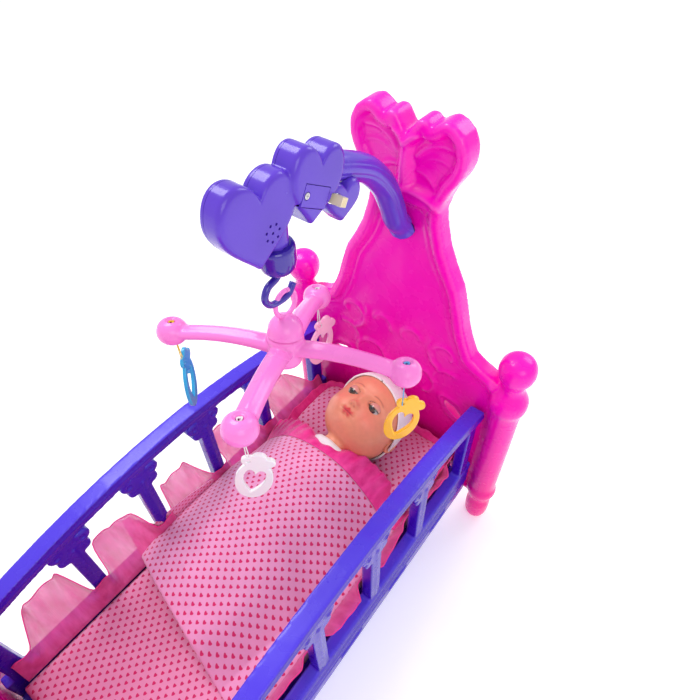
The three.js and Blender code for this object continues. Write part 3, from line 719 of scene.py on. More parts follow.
# ---------- music box: two shells of joined hearts ----------
CUP_AT = (0, 74, 0)
HEARTS = [(54, 481, 62, 58, -9, 4, 13), (102, 485, 50, 50, -19, 4, 16), (128.5, 460, 35, 29, -14, -1, 15)]
SLOPE = math.radians(-31)
DOOR_AT, SWITCH_AT, SPEAKER_AT = (98, 480), (118, 468), (62, 473)
BOSSES = ((38, 487, 12), (76, 487, 12), (102, 498, 15))  # y, z and how far forward each reaches


def bezier(p0, p1, p2, p3, n):
    return [tuple((1 - t) ** 3 * a + 3 * (1 - t) ** 2 * t * b + 3 * (1 - t) * t * t * c + t ** 3 * d
                  for a, b, c, d in zip(p0, p1, p2, p3)) for t in (i / n for i in range(n))]


def heart_line(w, h, n=22):
    return [*bezier((0, .27 * h), (.06 * w, .56 * h), (.5 * w, .62 * h), (.5 * w, .16 * h), n),
            *bezier((.5 * w, .16 * h), (.5 * w, -.12 * h), (.2 * w, -.3 * h), (0, -.5 * h), n),
            *bezier((0, -.5 * h), (-.2 * w, -.3 * h), (-.5 * w, -.12 * h), (-.5 * w, .16 * h), n),
            *bezier((-.5 * w, .16 * h), (-.5 * w, .62 * h), (-.06 * w, .56 * h), (0, .27 * h), n)]


def heart_slab(heart, inset, low=None, high=None):
    y, z, w, h, tilt, back, front = heart
    a = math.radians(tilt)
    line = [(y + u * math.cos(a) - v * math.sin(a), z + u * math.sin(a) + v * math.cos(a))
            for u, v in heart_line(w - 2 * inset, h - 2 * inset)]
    low = -back + inset if low is None else low
    high = front - inset if high is None else high
    return extruded("heart", line, low, high)


def heart_cushion(heart):
    """One heart of the casing, with its front edge rolled over and its back edge eased."""
    y, z, w, h, tilt, back, front = heart
    c, s = math.cos(math.radians(tilt)), math.sin(math.radians(tilt))
    layers = [(-back + 0.2, 1.6), (-back + 0.9, 0.5), (-back + 2.0, 0.1), (front - 4.4, 0.1)]
    layers += [(front - 4.4 + 4.2 * math.sin(a), 0.1 + 4.0 * (1 - math.cos(a)))
               for a in (0.3, 0.6, 0.9, 1.2, math.pi / 2)]
    co = []
    for x, inset in layers:
        for u, v in heart_line(w - 2 * inset, h - 2 * inset):
            co.append((x, y + u * c - v * s, z + u * s + v * c))
    n = len(co) // len(layers)
    faces = grid_faces(len(layers), n, True)
    faces += [tuple(range(n))[::-1], tuple(range((len(layers) - 1) * n, len(layers) * n))]
    return outward(mesh_piece("heart", co, faces))


def on_slope(y, z, corners):
    """An outline drawn about (y, z) along the door's slope."""
    c, s = math.cos(SLOPE), math.sin(SLOPE)
    return [(y + u * c - v * s, z + u * s + v * c) for u, v in corners]


def rectangle(u0, u1, v0, v1):
    return [(u0, v0), (u1, v0), (u1, v1), (u0, v1)]


def rod_x(y, z, r, x0, x1, n=20):
    return extruded("rod", circle(y, z, r, n), x0, x1)


def rounded(piece, width, segments=3, angle=35):
    edge = piece.modifiers.new("edge", "BEVEL")
    edge.width, edge.segments, edge.limit_method = width * MM, segments, "ANGLE"
    edge.angle_limit, edge.harden_normals = math.radians(angle), False
    apply_modifiers(piece)
    return piece


def shells():
    arm = [(223.7, 385), (213, 395), (206, 413), (193, 437), (172, 459), (148, 473), (124, 483)]
    stub = lathe("stub", [(0.1, 453.3), (8.2, 453.3), (9, 453.9), (9, 478), (0.1, 478)], CUP_AT, 40)
    whole = moulded(joined(*[heart_cushion(h) for h in HEARTS], stub), 0.6, 7)
    for front in (True, False):
        hearts = HEARTS if front else HEARTS[:2]
        piece = linked("box_front" if front else "box_rear", whole.data.copy())
        boolean(piece, [extruded("half", rectangle(0, 200, 400, 560),
                                 *((-40, 0.15) if front else (-0.15, 40)))])
        cutters = []
        for h in hearts:
            cutters.append(heart_slab(h, 2.2, -0.5 if front else -h[5] + 2, h[6] - 2 if front else 0.5))
        cutters.append(sweep("armway", [(0, y, z) for y, z in arm], 11.2, (1, 10.7 / 11.2)))
        if front:
            cutters.append(extruded("door", on_slope(*DOOR_AT, rectangle(-12.9, 12.9, -7.4, 7.4)), 8, 30))
            cutters.append(extruded("slot", on_slope(*SWITCH_AT, rectangle(-7.4, 3.5, -3.8, 3.8)), 2, 30))
            for i in range(8):
                a, r = 2 * math.pi * i / 7, 0 if i == 7 else 5.6
                cutters.append(rod_x(SPEAKER_AT[0] + r * math.cos(a), SPEAKER_AT[1] + r * math.sin(a), 1.0, 5, 20, 12))
        else:
            for y, z, _ in BOSSES:
                cutters.append(rod_x(y, z, 3.1, -30, -2.6))
        boolean(piece, cutters)
        shade_smooth(piece)
        piece.data.set_sharp_from_angle(angle=math.radians(32))
        finish_piece(piece, "cradle", "box_plastic", BOX_MAT,
                     ("music_box_front" if front else "music_box_rear",))
    bpy.data.objects.remove(whole)
    bosses = joined(*[rod_x(y, z, 3.4, 0.6, reach - 1.5) for y, z, reach in BOSSES])
    bosses.name = "box_bosses"
    finish_piece(bosses, "cradle", "box_plastic", BOX_MAT)
    door = extruded("battery_cover", on_slope(*DOOR_AT, rectangle(-12.5, 12.5, -7, 7)), 14.2, 16.05)
    boolean(door, [rod_x(*on_slope(*DOOR_AT, [(-9, 0)])[0], 2.6, 15.1, 30)])
    finish_piece(rounded(door, 0.35, 2), "battery_door", "box_plastic", BOX_MAT, ("battery_door",))
    screw_at = on_slope(*DOOR_AT, [(-9, 0)])[0]
    head = rod_x(*screw_at, 2.2, 13, 16.3, 24)
    cross = [extruded("cross", on_slope(*screw_at, rectangle(*r)), 15.6, 20)
             for r in ((-1.4, 1.4, -0.3, 0.3), (-0.3, 0.3, -1.4, 1.4))]
    boolean(head, cross)
    head.name = "door_screw_head"
    finish_piece(rounded(head, 0.25, 2), "battery_door", "bright_steel", None, ("door_screw",))
    knob = extruded("switch_cap", on_slope(*SWITCH_AT, rectangle(-3, 3, -3.3, 3.3)), 10.5, 22)
    ribs = [extruded("rib", on_slope(*SWITCH_AT, rectangle(u, u + 0.7, -4, 4)), 21.3, 24)
            for u in (-1.9, -0.35, 1.2)]
    boolean(knob, ribs)
    finish_piece(rounded(knob, 0.5, 3), "switch", "cream_plastic", None, ("switch_knob",))


BOX_MAT = plastic("box_gloss", (0.105, 0.036, 0.56), 0.22, 0.12, 0.2)
shells()


# ---------- arm, cup and hook ----------
def arm():
    route = [(0, y, z) for y, z in ((226, 382), (221, 387), (213, 396), (206, 413), (193, 437), (172, 459),
                                    (148, 473), (124, 483))]
    tube = sweep("mobile_tube", route, lambda t: 10.9 + 3.2 * math.exp(-(t / 0.07) ** 2), (1, 0.955), 48, 10)
    tube = moulded(tube, 0.9, 3)
    co, normal = points_of(tube), normals_of(tube)
    line = np.array(smooth_line([(y, z) for _, y, z in route], 10))
    off = distance(co[:, 1], co[:, 2], [tuple(p) for p in line])
    ridge = bead(off - 3.2, 0.8, 0.7) * (np.abs(normal[:, 0]) > 0.3)
    co[:, 0] -= np.sign(co[:, 0]) * ridge
    co[:, 1] = np.minimum(co[:, 1], 223.6)
    move_to(tube, co)
    finish_piece(tube, "cradle", "box_plastic", BOX_MAT, ("mobile_arm",))
    cup = lathe("swivel_housing", [(0.2, 431), (3.4, 431), (6.5, 431.1), (11, 434), (12.9, 440), (13, 446),
                                   (13, 450.5),
                                   (12.2, 452.6), (10.5, 453.2), (0.2, 453.2)], CUP_AT, 64)
    hollow = lathe("hollow", [(0.2, 429), (3.3, 429), (3.35, 436.2), (7.5, 436.4), (7.5, 445),
                              (0.2, 445.2)],
                   CUP_AT, 32)
    nub = sweep("nub", [(0, 83, 435), (0, 87, 435), (0, 90.6, 435)],
                lambda t: 2.6 - 0.6 * step(t - 0.6, 0.4))
    boolean(cup, [hollow])
    boolean(cup, [nub], "UNION")
    finish_piece(cup, "cradle", "box_plastic", CUP_MAT, ("swivel_cup",))
    route = [(0, 74, 443), (0, 74, 437), (0, 74, 430.5), (0, 70.5, 426.5), (0, 62, 424), (0, 58, 416.5),
             (0, 62, 409),
             (0, 71, 406), (0, 80, 406.5), (0, 86, 413)]
    rod = sweep("hook_rod", route, 2.6, None, 24, 6)
    disc = lathe("hook_head", [(0.2, 439), (5.6, 439), (6, 439.6), (6, 442.4), (5.6, 443), (0.2, 443)], CUP_AT, 32)
    finish_piece(joined(rod, disc), "hook", "box_plastic", CUP_MAT, ("hook",))


CUP_MAT = plastic("cup_gloss", (0.035, 0.010, 0.33), 0.12, 0.1, 0.6)
arm()


# ---------- mobile ----------
def mobile():
    hub = lathe("crown", [(0.2, -13), (8.8, -13), (12.3, -10), (13, -4), (13.1, 4), (13, 11.6), (0.2, 12)],
                (0, 0, -43))
    arms, bores = [], []
    for angle in ARM_ANGLES:
        turn = Matrix.Rotation(math.radians(angle), 4, "Z")
        route = [(2, 0, 0), (16, 0, 2.2), (32, 0, 3.2), (50, 0, 2.6), (68, 0, 0.4), (86, 0, -3)]
        bar = sweep("bar", [(x, y, z - 43) for x, y, z in route], lambda t: 9.2 - 1.8 * t + 1.2 * t ** 6, (1, 0.62),
                    40, 8, up=(0, 1, 0))
        knob = lathe("knob", [(0.2, -10.8), (5, -9.8), (9.2, -7), (11.6, -3), (12, 0.5), (11, 5),
                              (8.4, 8.4), (5.6, 9.9),
                              (3.4, 10.2), (0.2, 10.2)], (90, 0, -46))
        bore = lathe("bore", [(0.2, -14), (2.4, -14), (2.4, 6.5), (4.2, 9.2), (5.4, 13), (0.2, 13)],
                     (90, 0, -46), 32)
        for piece, group in ((bar, arms), (knob, arms), (bore, bores)):
            piece.data.transform(turn)
            group.append(piece)
    cross = moulded(joined(hub, *arms), 0.9, 4)
    co, normal = points_of(cross), normals_of(cross)
    for angle in ARM_ANGLES:
        a = math.radians(angle)
        u, v = co[:, 0] * math.cos(a) + co[:, 1] * math.sin(a), -co[:, 0] * math.sin(a) + co[:, 1] * math.cos(a)
        on_arm = step(u - 16, 6) * step(80 - u, 6) * step(normal[:, 2], 0.6)
        co[:, 2] += on_arm * bead(v, 2.2, 1.0)
    move_to(cross, co)
    boolean(cross, bores)
    cross.name = "mobile_arms"
    cap = lathe("mobile_dome", [(0.2, -30.4), (12.4, -30.4), (13.2, -29.6), (13, -27), (12.3, -23),
                                (10, -19), (6.5, -15.8),
                                (3, -14.4), (0.2, -14)])
    ring = []
    for i in range(49):
        a = 2 * math.pi * i / 48
        ring.append((0, 10 * math.sin(a), 10 * math.cos(a) - 5.3))
    eyelet = sweep("eyelet", ring[:-1] + ring[:1], 1.8, None, 20, 1)
    cap = joined(cap, eyelet)
    cap.name = "mobile_dome"
    for piece, node in ((cross, "mobile_cross"), (cap, "mobile_cap")):
        turn_in_mm(piece, MOBILE_TURN)
        shade_smooth(piece)
        finish_piece(piece, "mobile", "pink_plastic", None, (node,))
    # a knot lies in the rimmed hole on top of each knob
    for color, angle in zip(THREADS, ARM_ANGLES):
        a = math.radians(angle)
        at = MOBILE_TURN @ Vector((90 * math.cos(a), 90 * math.sin(a), -46 + 8.0))
        knot = []
        for i in range(31):
            b = 2 * math.pi * i / 30
            knot.append(at + Vector((1.5 * math.sin(2 * b) + 0.6 * math.sin(b),
                                     1.5 * math.cos(3 * b) * 0.7 + 0.8 * math.cos(b),
                                     0.8 * math.sin(3 * b))))
        piece = sweep(f"knot_{color}", knot, 0.55, None, 10, 2)
        finish_piece(piece, "mobile", "thread", bpy.data.materials[f"thread_{color}"])


mobile()


# ---------- hanging toys ----------
TOY_HEADINGS = {"blue": 128, "white": 38, "yellow": 38, "pink": 75}
TOY_SIDES = (-1.5, 1.5)
TOY_DROP = 24
TOY_LEAN = 15  # puts the toy's balance point under its string


def toys():
    for color, heading in TOY_HEADINGS.items():
        low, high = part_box(f"string_{color}")
        at = Vector(((low.x + high.x) / 2, (low.y + high.y) / 2, high.z)) / MM
        oval = [(6.5 + 13 * math.cos(a), -24 + 24 * math.sin(a))
                for a in np.linspace(0, 2 * math.pi, 64, False)]
        body = extruded("ring", oval, *TOY_SIDES, "xy")
        for u, v in ((0, 0), (6.5, 4.5), (13, 0)):
            boolean(body, [extruded("lobe", circle(u, v, 5, 40), *TOY_SIDES, "xy")], "UNION")
        window = [(6.5 + u, -25.5 + v) for u, v in heart_line(15, 31, 12)]
        boolean(body, [extruded("window", window, -4, 4, "xy")])
        boolean(body, [extruded("eye", circle(0, 0, 1.3, 20), -4, 4, "xy")])
        moulded(body, 0.42, 4)
        turn = (Matrix.Translation(at * MM) @ Matrix.Rotation(math.radians(heading), 4, "Z")
                @ Matrix.Translation((0, 0, -TOY_DROP * MM)) @ Matrix.Rotation(math.pi / 2, 4, "X")
                @ Matrix.Rotation(math.radians(-TOY_LEAN), 4, "Z"))
        body.data.transform(turn)
        body.name = f"teether_{color}"
        finish_piece(body, f"toy_{color}", f"toy_{color}_plastic", None, (f"toy_{color}",))


toys()


# ---------- bedding ----------
BAY_ENDS = (-199, *SLATS, 199)


def bay(y):
    """1 in the open part of a bay between two slats, 0 at a slat."""
    nearest = np.min([np.abs(y - s) for s in BAY_ENDS], axis=0)
    return step(nearest - 8.5, 12)


def ripple(u, v, scale, seed):
    return np.array([noise.noise(Vector((a * scale, b * scale, seed))) for a,
                     b in zip(np.ravel(u), np.ravel(v))])


def over_doll(x, y):
    """Height of the cover over the doll and the mattress."""
    ridge = np.interp(y, [-135, -122, -100, -60, 0, 50, 80, 104, 125],
                      [106, 122, 137, 149, 162, 174, 178, 174, 166])
    centre = np.interp(y, [-130, 0, 110], [-26, -20, -8])
    t = np.clip(np.abs(x - centre) / np.interp(y, [-130, 0, 110], [76, 86, 84]), 0, 1)
    dome = (1 - t ** 2.1) ** 0.9
    return 107.5 + (ridge - 107.5) * dome


def uv_sheet(name, co, rows, cols, uv, thick, material, wrap=False):
    """A sheet with its own flat coordinates, given a small thickness."""
    piece = mesh_piece(name, co, grid_faces(rows, cols, wrap), material)
    layer = piece.data.uv_layers.new(name="flat")
    for loop in piece.data.loops:
        layer.data[loop.index].uv = tuple(uv[loop.vertex_index] * MM)
    area = sum(polygon.area for polygon in piece.data.polygons)
    if thick:
        solid = piece.modifiers.new("cloth", "SOLIDIFY")
        solid.thickness, solid.offset = thick * MM, 1
        apply_modifiers(piece)
    shade_smooth(piece)
    return piece, area


def blanket():
    n = 150
    corners = [np.array(c, float) for c in ((-88, 99), (90, 103), (92, -121), (-146, -64))]
    t, s = np.meshgrid(np.linspace(0, 1, n), np.linspace(0, 1, n))
    s, t = s.ravel(), t.ravel()
    plan = ((1 - s)[:, None] * ((1 - t)[:, None] * corners[0] + t[:, None] * corners[1])
            + s[:, None] * ((1 - t)[:, None] * corners[3] + t[:, None] * corners[2]))
    x, y = plan[:, 0], plan[:, 1]
    limit = -RAIL_INSIDE + 1 - 55 * step(-y - 46, 14) * step(y + 109, 12)
    over = np.maximum(0, limit - x)
    x = np.where(over > 0, limit - 0.06 * over, x)
    z = over_doll(x, y) + 0.55 * over
    outside = step(-x - 95, 8)
    z = np.where(outside > 0, np.maximum(z, 111.0), z)
    fold = ripple(x, y, 0.018, 3.1) * 3.2 + ripple(x * 0.6 + y * 0.8, y * 0.2, 0.05, 7.7) * 1.6
    pull = 2.2 * np.sin((x * 0.25 + y) * 0.075) * step(-x - 40, 40)
    drag = 1.8 * np.sin((y * 0.4 - x) * 0.11 + 1.2) * step(-y - 10, 50) * step(x + 60, 60)
    z = z + (fold + pull + drag) * (1 - 0.7 * outside) + 1.2
    border = np.minimum.reduce([s, 1 - s, t, 1 - t])
    z = z - 1.2 * step(0.012 - border, 0.012)
    co = np.stack([x, y, z], 1)
    uv = np.stack([t * 196 + 4, -s * 205], 1)
    piece, area = uv_sheet("blanket_cover", co, n, n, uv, 1.4, PRINT_UV)
    finish_piece(piece, "cradle", "printed_cotton", PRINT_UV, ("blanket",))
    return np.stack([x, y, z], 1).reshape(n, n, 3)


def frill(name, base, outward_line, width, waves, depth, material, lift=None, rows=16):
    """A gathered strip: base is its sewn edge, outward_line the direction that it spreads in at each point."""
    n = len(base)
    length = np.concatenate([[0], np.cumsum(np.linalg.norm(np.diff(base, axis=0), axis=1))])
    co, uv = [], []
    for i in range(rows):
        t = i / (rows - 1)
        swing = np.sin(length * waves + 2.1 * np.sin(length * 0.031)) + 0.5 * np.sin(length * waves * 0.43 + 1.3)
        grow = t ** 0.75
        line = base + outward_line * (width * t if np.isscalar(width) else (width * t)[:, None])
        line = line + np.array([0, 0, 1.0]) * (swing * depth * grow)[:, None]
        if lift is not None:
            line = line + np.array([0, 0, 1.0]) * lift(t)[:, None]
        co.append(line)
        uv.append(np.stack([length * 1.5, np.full(n, t * float(np.mean(width)))], 1))
    co, uv = np.concatenate(co), np.concatenate(uv)
    piece, area = uv_sheet(name, co, rows, n, uv, 0.25, material)
    finish_piece(piece, "cradle", "printed_cotton", material)
    roll = sweep(name + "_hem", list(co[-n:][::2]), 0.55, None, 8, 1, up=(0, 0, 1))
    finish_piece(roll, "cradle", "printed_cotton", HEM)


def bed_pad():
    """The mattress: a quilted pad, crowned between its edges."""
    n, m = 90, 190
    half_wide, half_long = 91.5, 215.5
    t, s = np.meshgrid(np.linspace(-1, 1, n), np.linspace(-1, 1, m))
    x, y = half_wide * t, half_long * s
    ex, ey = half_wide - np.abs(x), half_long - np.abs(y)
    inset = np.minimum(ex, ey)
    roll = np.sqrt(np.clip(1 - (1 - np.clip(inset / 9, 0, 1)) ** 2, 0, 1))
    top = 96 + 10 * roll
    crease = ripple(x, y, 0.03, 5.5).reshape(x.shape) * 1.0 + ripple(x, y, 0.09, 1.5).reshape(x.shape) * 0.4
    top = np.minimum(top + crease * step(inset, 14), 106.9)
    low = np.full_like(top, 77.2) + 8 * (1 - roll)
    upper = np.stack([x, y, top], -1).reshape(-1, 3)
    lower = np.stack([x, y, low], -1).reshape(-1, 3)
    faces = grid_faces(m, n)
    count = n * m
    faces += [tuple(i + count for i in face[::-1]) for face in grid_faces(m, n)]
    ring = ([j for j in range(n)] + [i * n + n - 1 for i in range(1, m)]
            + [(m - 1) * n + j for j in range(n - 2, -1, -1)]
            + [i * n for i in range(m - 2, 0, -1)])
    for a, b in zip(ring, ring[1:] + ring[:1]):
        faces.append((a + count, b + count, b, a))
    piece = outward(mesh_piece("bed_pad", np.concatenate([upper, lower]), faces))
    finish_piece(piece, "cradle", "printed_cotton", None, ("mattress",))


def head_pillow():
    """The pillow, dented by the head, with a piped edge."""
    piece = moulded(copy_of("pillow", "head_pillow"), 2.2, 14)
    co, normal = points_of(piece), normals_of(piece)
    swell = ripple(co[:, 0], co[:, 1], 0.03, 9.1) * 2.0 + ripple(co[:, 0], co[:, 1], 0.08, 2.2) * 0.9
    side = np.minimum(co[:, 0] + 79, 87 - co[:, 0])
    co += normal * (swell * 0.7 + 0.6)[:, None]
    co[:, 2] -= 3.0 * np.exp(-(side / 10) ** 2) * step(co[:, 2] - 112, 6)
    co[:, 2] = np.maximum(co[:, 2], 104.6)
    move_to(piece, co)
    finish_piece(piece, "cradle", "printed_cotton", None, ("pillow",))


def frills(cover):
    n = 300
    # along the top edge of the cover, over the doll's chest
    top = cover[0]
    t = np.linspace(0, 1, n)
    base = np.stack([np.interp(t, np.linspace(0, 1, len(top)), top[:, k]) for k in range(3)], 1)
    base[:, 2] += 0.2
    out = np.tile([0.06, 0.97, -0.1], (n, 1))
    out[:, 0] += -0.35 * np.clip(0.2 - t, 0, 0.2) * 5
    wide = 34 - 17 * np.exp(-((t - 0.42) / 0.2) ** 2)
    sink = -9 * np.exp(-((t - 0.42) / 0.26) ** 2)
    frill("cover_frill", base, out, wide, 0.42, 1.6, HOT_ORGANZA,
          lift=lambda u: 2.5 * math.sin(math.pi * u) + sink * u)
    for side, reach in ((-1, 50), (1, 22)):
        y = np.linspace(-208, 206, 420)
        open_bay = bay(y)
        base = np.stack([np.full_like(y, side * 89.0), y, np.full_like(y, 106.8)], 1)
        width = 8 + (reach - 14 + 4 * np.sin(y * 0.031 + side)) * open_bay
        rise = 24 * (1 - open_bay) + (19 if side < 0 else 14) * open_bay
        tilt = np.stack([np.full_like(y, side * 1.0), 0.06 * np.sin(y * 0.2), np.zeros_like(y)], 1)
        depth = 1.6 * np.ones_like(y)
        frill("mattress_frill_" + ("left" if side < 0 else "right"), base, tilt, width, 0.34, depth,
              PALE_ORGANZA,
              lift=lambda u, r=rise, o=open_bay: r * u + o * (5.5 * math.sin(min(1.0, u * 1.8) * math.pi / 2) + 5.0 * u))
    # round the pillow
    a = np.linspace(-0.35 * math.pi, 1.35 * math.pi, 360)
    cx, cy, rx, ry = 4, 167.5, 82, 45
    ex = np.sign(np.cos(a)) * np.abs(np.cos(a)) ** 0.45
    ey = np.sign(np.sin(a)) * np.abs(np.sin(a)) ** 0.45
    base = np.stack([cx + (rx - 2) * ex, cy + (ry - 2) * ey, np.full_like(a, 113.0)], 1)
    out = np.stack([ex * 0.6, ey * 0.4, np.full_like(a, 0.75)], 1)
    room = np.minimum(RAIL_INSIDE - 1 - np.abs(base[:, 0]), 221 - base[:, 1])
    width = np.minimum(19, room / 0.62)
    width = np.maximum(width, 9)
    frill("pillow_frill", base, out, width, 0.5, 1.2, HOT_ORGANZA, rows=12)


cover_shape = blanket()
bed_pad()
head_pillow()


# ---------- the doll ----------
HEAD_TURN = turned_to((5, 169, 166), 12, -12)
BODY_TURN = turned_to((-6.5, 114, 147), 10, -6)
SKULL = [(14, -58), (14.2, -50), (15, -43.5), (24, -39.5), (33, -32), (38.5, -20), (40, -4), (40.5, 10), (38, 24),
         (31, 35), (20, 42), (10, 44.9), (0.2, 45.5)]
EYE_AT, EYE_RADIUS = (15, 3, 31.5), 7.75


def bell(x, y, cx, cy, wx, wy):
    return np.exp(-((x - cx) / wx) ** 2 - ((y - cy) / wy) ** 2)


def skull_radius(y):
    line = np.array(smooth_line(SKULL, 8))
    return np.interp(y, line[:, 1], line[:, 0])


def lips(x, y):
    """Masks of the upper and lower lip."""
    wide = np.clip(1 - (x / 8.2) ** 2, 0, 1)
    bow = -18.2 + 0.9 * np.cos(x * 0.9) * wide - 0.05 * np.abs(x)
    upper = np.exp(-((y - bow) / 1.7) ** 2) * wide ** 0.6
    lower = np.exp(-((y - bow + 3.1) / 1.9) ** 2) * np.clip(1 - (x / 6.4) ** 2, 0, 1) ** 0.6
    return upper, lower


def head_relief_at(x, y):
    """How far the face stands out from the plain skull, by position across and along the face."""
    ax = np.abs(x)
    out = 5.6 * bell(x, y, 0, -8.6, 3.6, 3.6) + 2.4 * bell(ax, y, 4.0, -9.6, 2.1, 2.2)
    out += 1.9 * bell(x, y, 0, -1, 3.2, 8)
    out -= 2.6 * bell(ax, y, 14.5, 3, 8, 5.4) + 0.8 * bell(ax, y, 7, 3.4, 3, 4)
    out += 1.3 * bell(ax, y, 15, 9.6, 10, 2.6)
    out += 3.2 * bell(ax, y, 20, -14, 10, 9) + 1.2 * bell(ax, y, 13, -22, 6, 6)
    out += 3.0 * bell(x, y, 0, -29.5, 7.5, 5) - 1.5 * bell(x, y, 0, -24.4, 7, 1.7)
    upper, lower = lips(x, y)
    out += 1.9 * upper + 1.8 * lower - 1.4 * bell(x, y, 0, -19.9, 7.2, 0.75)
    out += 1.6 * bell(x, y, 0, -18, 9, 6) - 0.7 * bell(x, y, 0, -14.2, 1.3, 2.2)
    out -= 0.8 * bell(ax, y, 9.2, -19.4, 1.6, 1.8)
    return out + 1.0 * bell(ax, y, 8, 22, 14, 9)


def doll_head():
    rows, cols = 230, 300
    s = np.linspace(0, 1, rows)
    line = np.array(smooth_line(SKULL, 20))
    gap = np.concatenate([[0], np.cumsum(np.hypot(*np.diff(line, axis=0).T))])
    y = np.interp(s * gap[-1], gap, line[:, 1])
    r = np.interp(s * gap[-1], gap, line[:, 0])
    share = np.linspace(-1, 1, cols, endpoint=False)
    angle = math.pi * np.sign(share) * np.abs(share) ** 1.25
    yy, aa = np.meshgrid(y, angle, indexing="ij")
    rr = np.repeat(r[:, None], cols, 1)
    x, z = rr * np.sin(aa), rr * np.cos(aa)
    front = step(np.cos(aa) - 0.05, 0.5) * step(yy + 38, 5)
    relief = head_relief_at(x, yy) * front
    z = z + relief * 0.94
    x = x + np.sign(x) * 2.0 * bell(np.abs(x), yy, 36, -14, 10, 12) * front
    co = np.stack([x, yy, z], -1).reshape(-1, 3)
    faces = grid_faces(rows, cols, True)
    faces.append(tuple(range(cols))[::-1])
    faces.append(tuple(range((rows - 1) * cols, rows * cols)))
    piece = outward(mesh_piece("head_vinyl", co, faces))
    cutters = []
    for side in (-1, 1):
        ring = []
        for i in range(48):
            a = 2 * math.pi * i / 48
            u = 6.9 * math.cos(a)
            v = (3.5 if math.sin(a) > 0 else 3.1) * math.sin(a) * (1 - 0.16 * (u / 6.9) ** 2)
            ring.append((side * EYE_AT[0] + u, EYE_AT[1] + v + 0.10 * side * u))
        cutters.append(extruded("almond", ring, 18, 60, "xy"))
    boolean(piece, cutters)
    for side in (-1, 1):
        shell = lathe("ear", [(0.2, -3), (5, -3), (7.0, -1.5), (7.6, 1.2), (6.6, 2.6), (5.0, 2.0),
                              (3.4, 0.4), (0.2, -0.2)],
                      segments=40)
        shell.data.transform(Matrix.Translation(Vector((side * 40.5, -5, -6)) * MM)
                             @ Matrix.Rotation(math.radians(side * 75), 4,
                                               "Y") @ Matrix.Diagonal((0.8, 1.25, 1, 1)))
        joined(piece, shell)
    co = points_of(piece)
    x, y, z = co.T
    color = np.tile([0.80, 0.285, 0.165], (len(co), 1))

    def tint(mask, target):
        color[:] = color * (1 - mask[:, None]) + np.array(target) * mask[:, None]

    face = step(z - 8, 14)
    ax = np.abs(x)
    tint(0.5 * bell(ax, y, 21, -13, 10, 9) * face, (0.93, 0.22, 0.17))
    tint(0.25 * bell(x, y, 0, -30, 9, 6) * face, (0.9, 0.28, 0.2))
    tint(0.35 * bell(x, y, 0, -8, 5, 4) * face, (0.92, 0.36, 0.25))
    upper, lower = lips(x, y)
    tint(np.clip(1.15 * upper + 1.0 * lower, 0, 1) ** 1.3 * face, (0.70, 0.045, 0.06))
    tint(0.8 * bell(x, y, 0, -19.9, 6.4, 0.5) * face, (0.30, 0.02, 0.03))
    brow = np.exp(-((y - 12.6 + 0.035 * (ax - 14) ** 2 + 0.05
                     * (ax - 14)) / 0.75) ** 2) * step(8.5 - np.abs(ax - 15), 3)
    tint(0.5 * brow * face, (0.24, 0.09, 0.05))
    rim = np.hypot((ax - 15) / 7.6, (y - 3) / 4.2)
    tint(0.45 * np.exp(-((rim - 1) / 0.16) ** 2) * face, (0.42, 0.12, 0.08))
    lash = np.exp(-((rim - 1.02) / 0.08) ** 2) * step(y - 3.4, 1.0) * (0.5 + 0.5 * np.sin(ax * 7))
    tint(0.95 * lash * face, (0.04, 0.016, 0.012))
    nostril = bell(ax, y, 2.3, -12.0, 0.9, 0.7) * face
    tint(0.5 * nostril, (0.35, 0.08, 0.06))
    # painted shadow: a brown line on the skin along the bonnet's edge
    crown = (y + 6) * 0.737 - (z + 8) * 0.676
    tint(0.55 * np.exp(-((crown + 1.0) / 1.2) ** 2), (0.36, 0.12, 0.07))
    paint(piece, np.clip(color, 0, 1))
    turn_in_mm(piece, HEAD_TURN)
    shade_smooth(piece)
    finish_piece(piece, "head", "skin_vinyl", SKIN, ("doll_head",))


def eyeballs():
    for side, name in ((-1, "left"), (1, "right")):
        rows, cols = 90, 120
        co = []
        for i in range(rows):
            a = math.pi * (i + 0.02) / (rows - 1 + 0.04)
            for j in range(cols):
                b = 2 * math.pi * j / cols
                co.append(Vector((math.sin(a) * math.cos(b), math.sin(a) * math.sin(b), math.cos(a)))
                          * EYE_RADIUS)
        co = np.array(co)
        piece = outward(mesh_piece("eyeball_" + name, co + np.array([side * EYE_AT[0], EYE_AT[1], EYE_AT[2]]),
                                   grid_faces(rows, cols, True)))
        x, y, z = co.T
        gaze = np.hypot(x, y + 2.2)
        color = np.tile([0.50, 0.42, 0.40], (len(co), 1))
        for mask, target in ((step(5.6 - gaze, 0.5), (0.03, 0.012, 0.007)),
                             (step(4.4 - gaze, 0.9), (0.075, 0.028, 0.012)),
                             (step(2.2 - gaze, 0.3), (0.003, 0.003, 0.003)),
                             # painted highlight: a small white glint on the pupil
                             (step(0.5 - np.hypot(x - 1.0, y + 1.6), 0.3), (0.9, 0.9, 0.9))):
            color = color * (1 - mask[:, None]) + np.array(target) * mask[:, None]
        lid = step(y + 1.2, 0.4)
        color = color * (1 - lid[:, None]) + np.array([0.70, 0.33, 0.25]) * lid[:, None]
        edge = np.exp(-((y + 1.1) / 0.8) ** 2) * (z > 0)
        color = color * (1 - edge[:, None]) + np.array([0.02, 0.01, 0.01]) * edge[:, None]
        color[z < 1] = (0.8, 0.5, 0.42)
        paint(piece, np.clip(color, 0, 1))
        turn_in_mm(piece, HEAD_TURN)
        finish_piece(piece, "eyes", "eye_gloss", EYE_PAINT, (f"eye_{name}",))


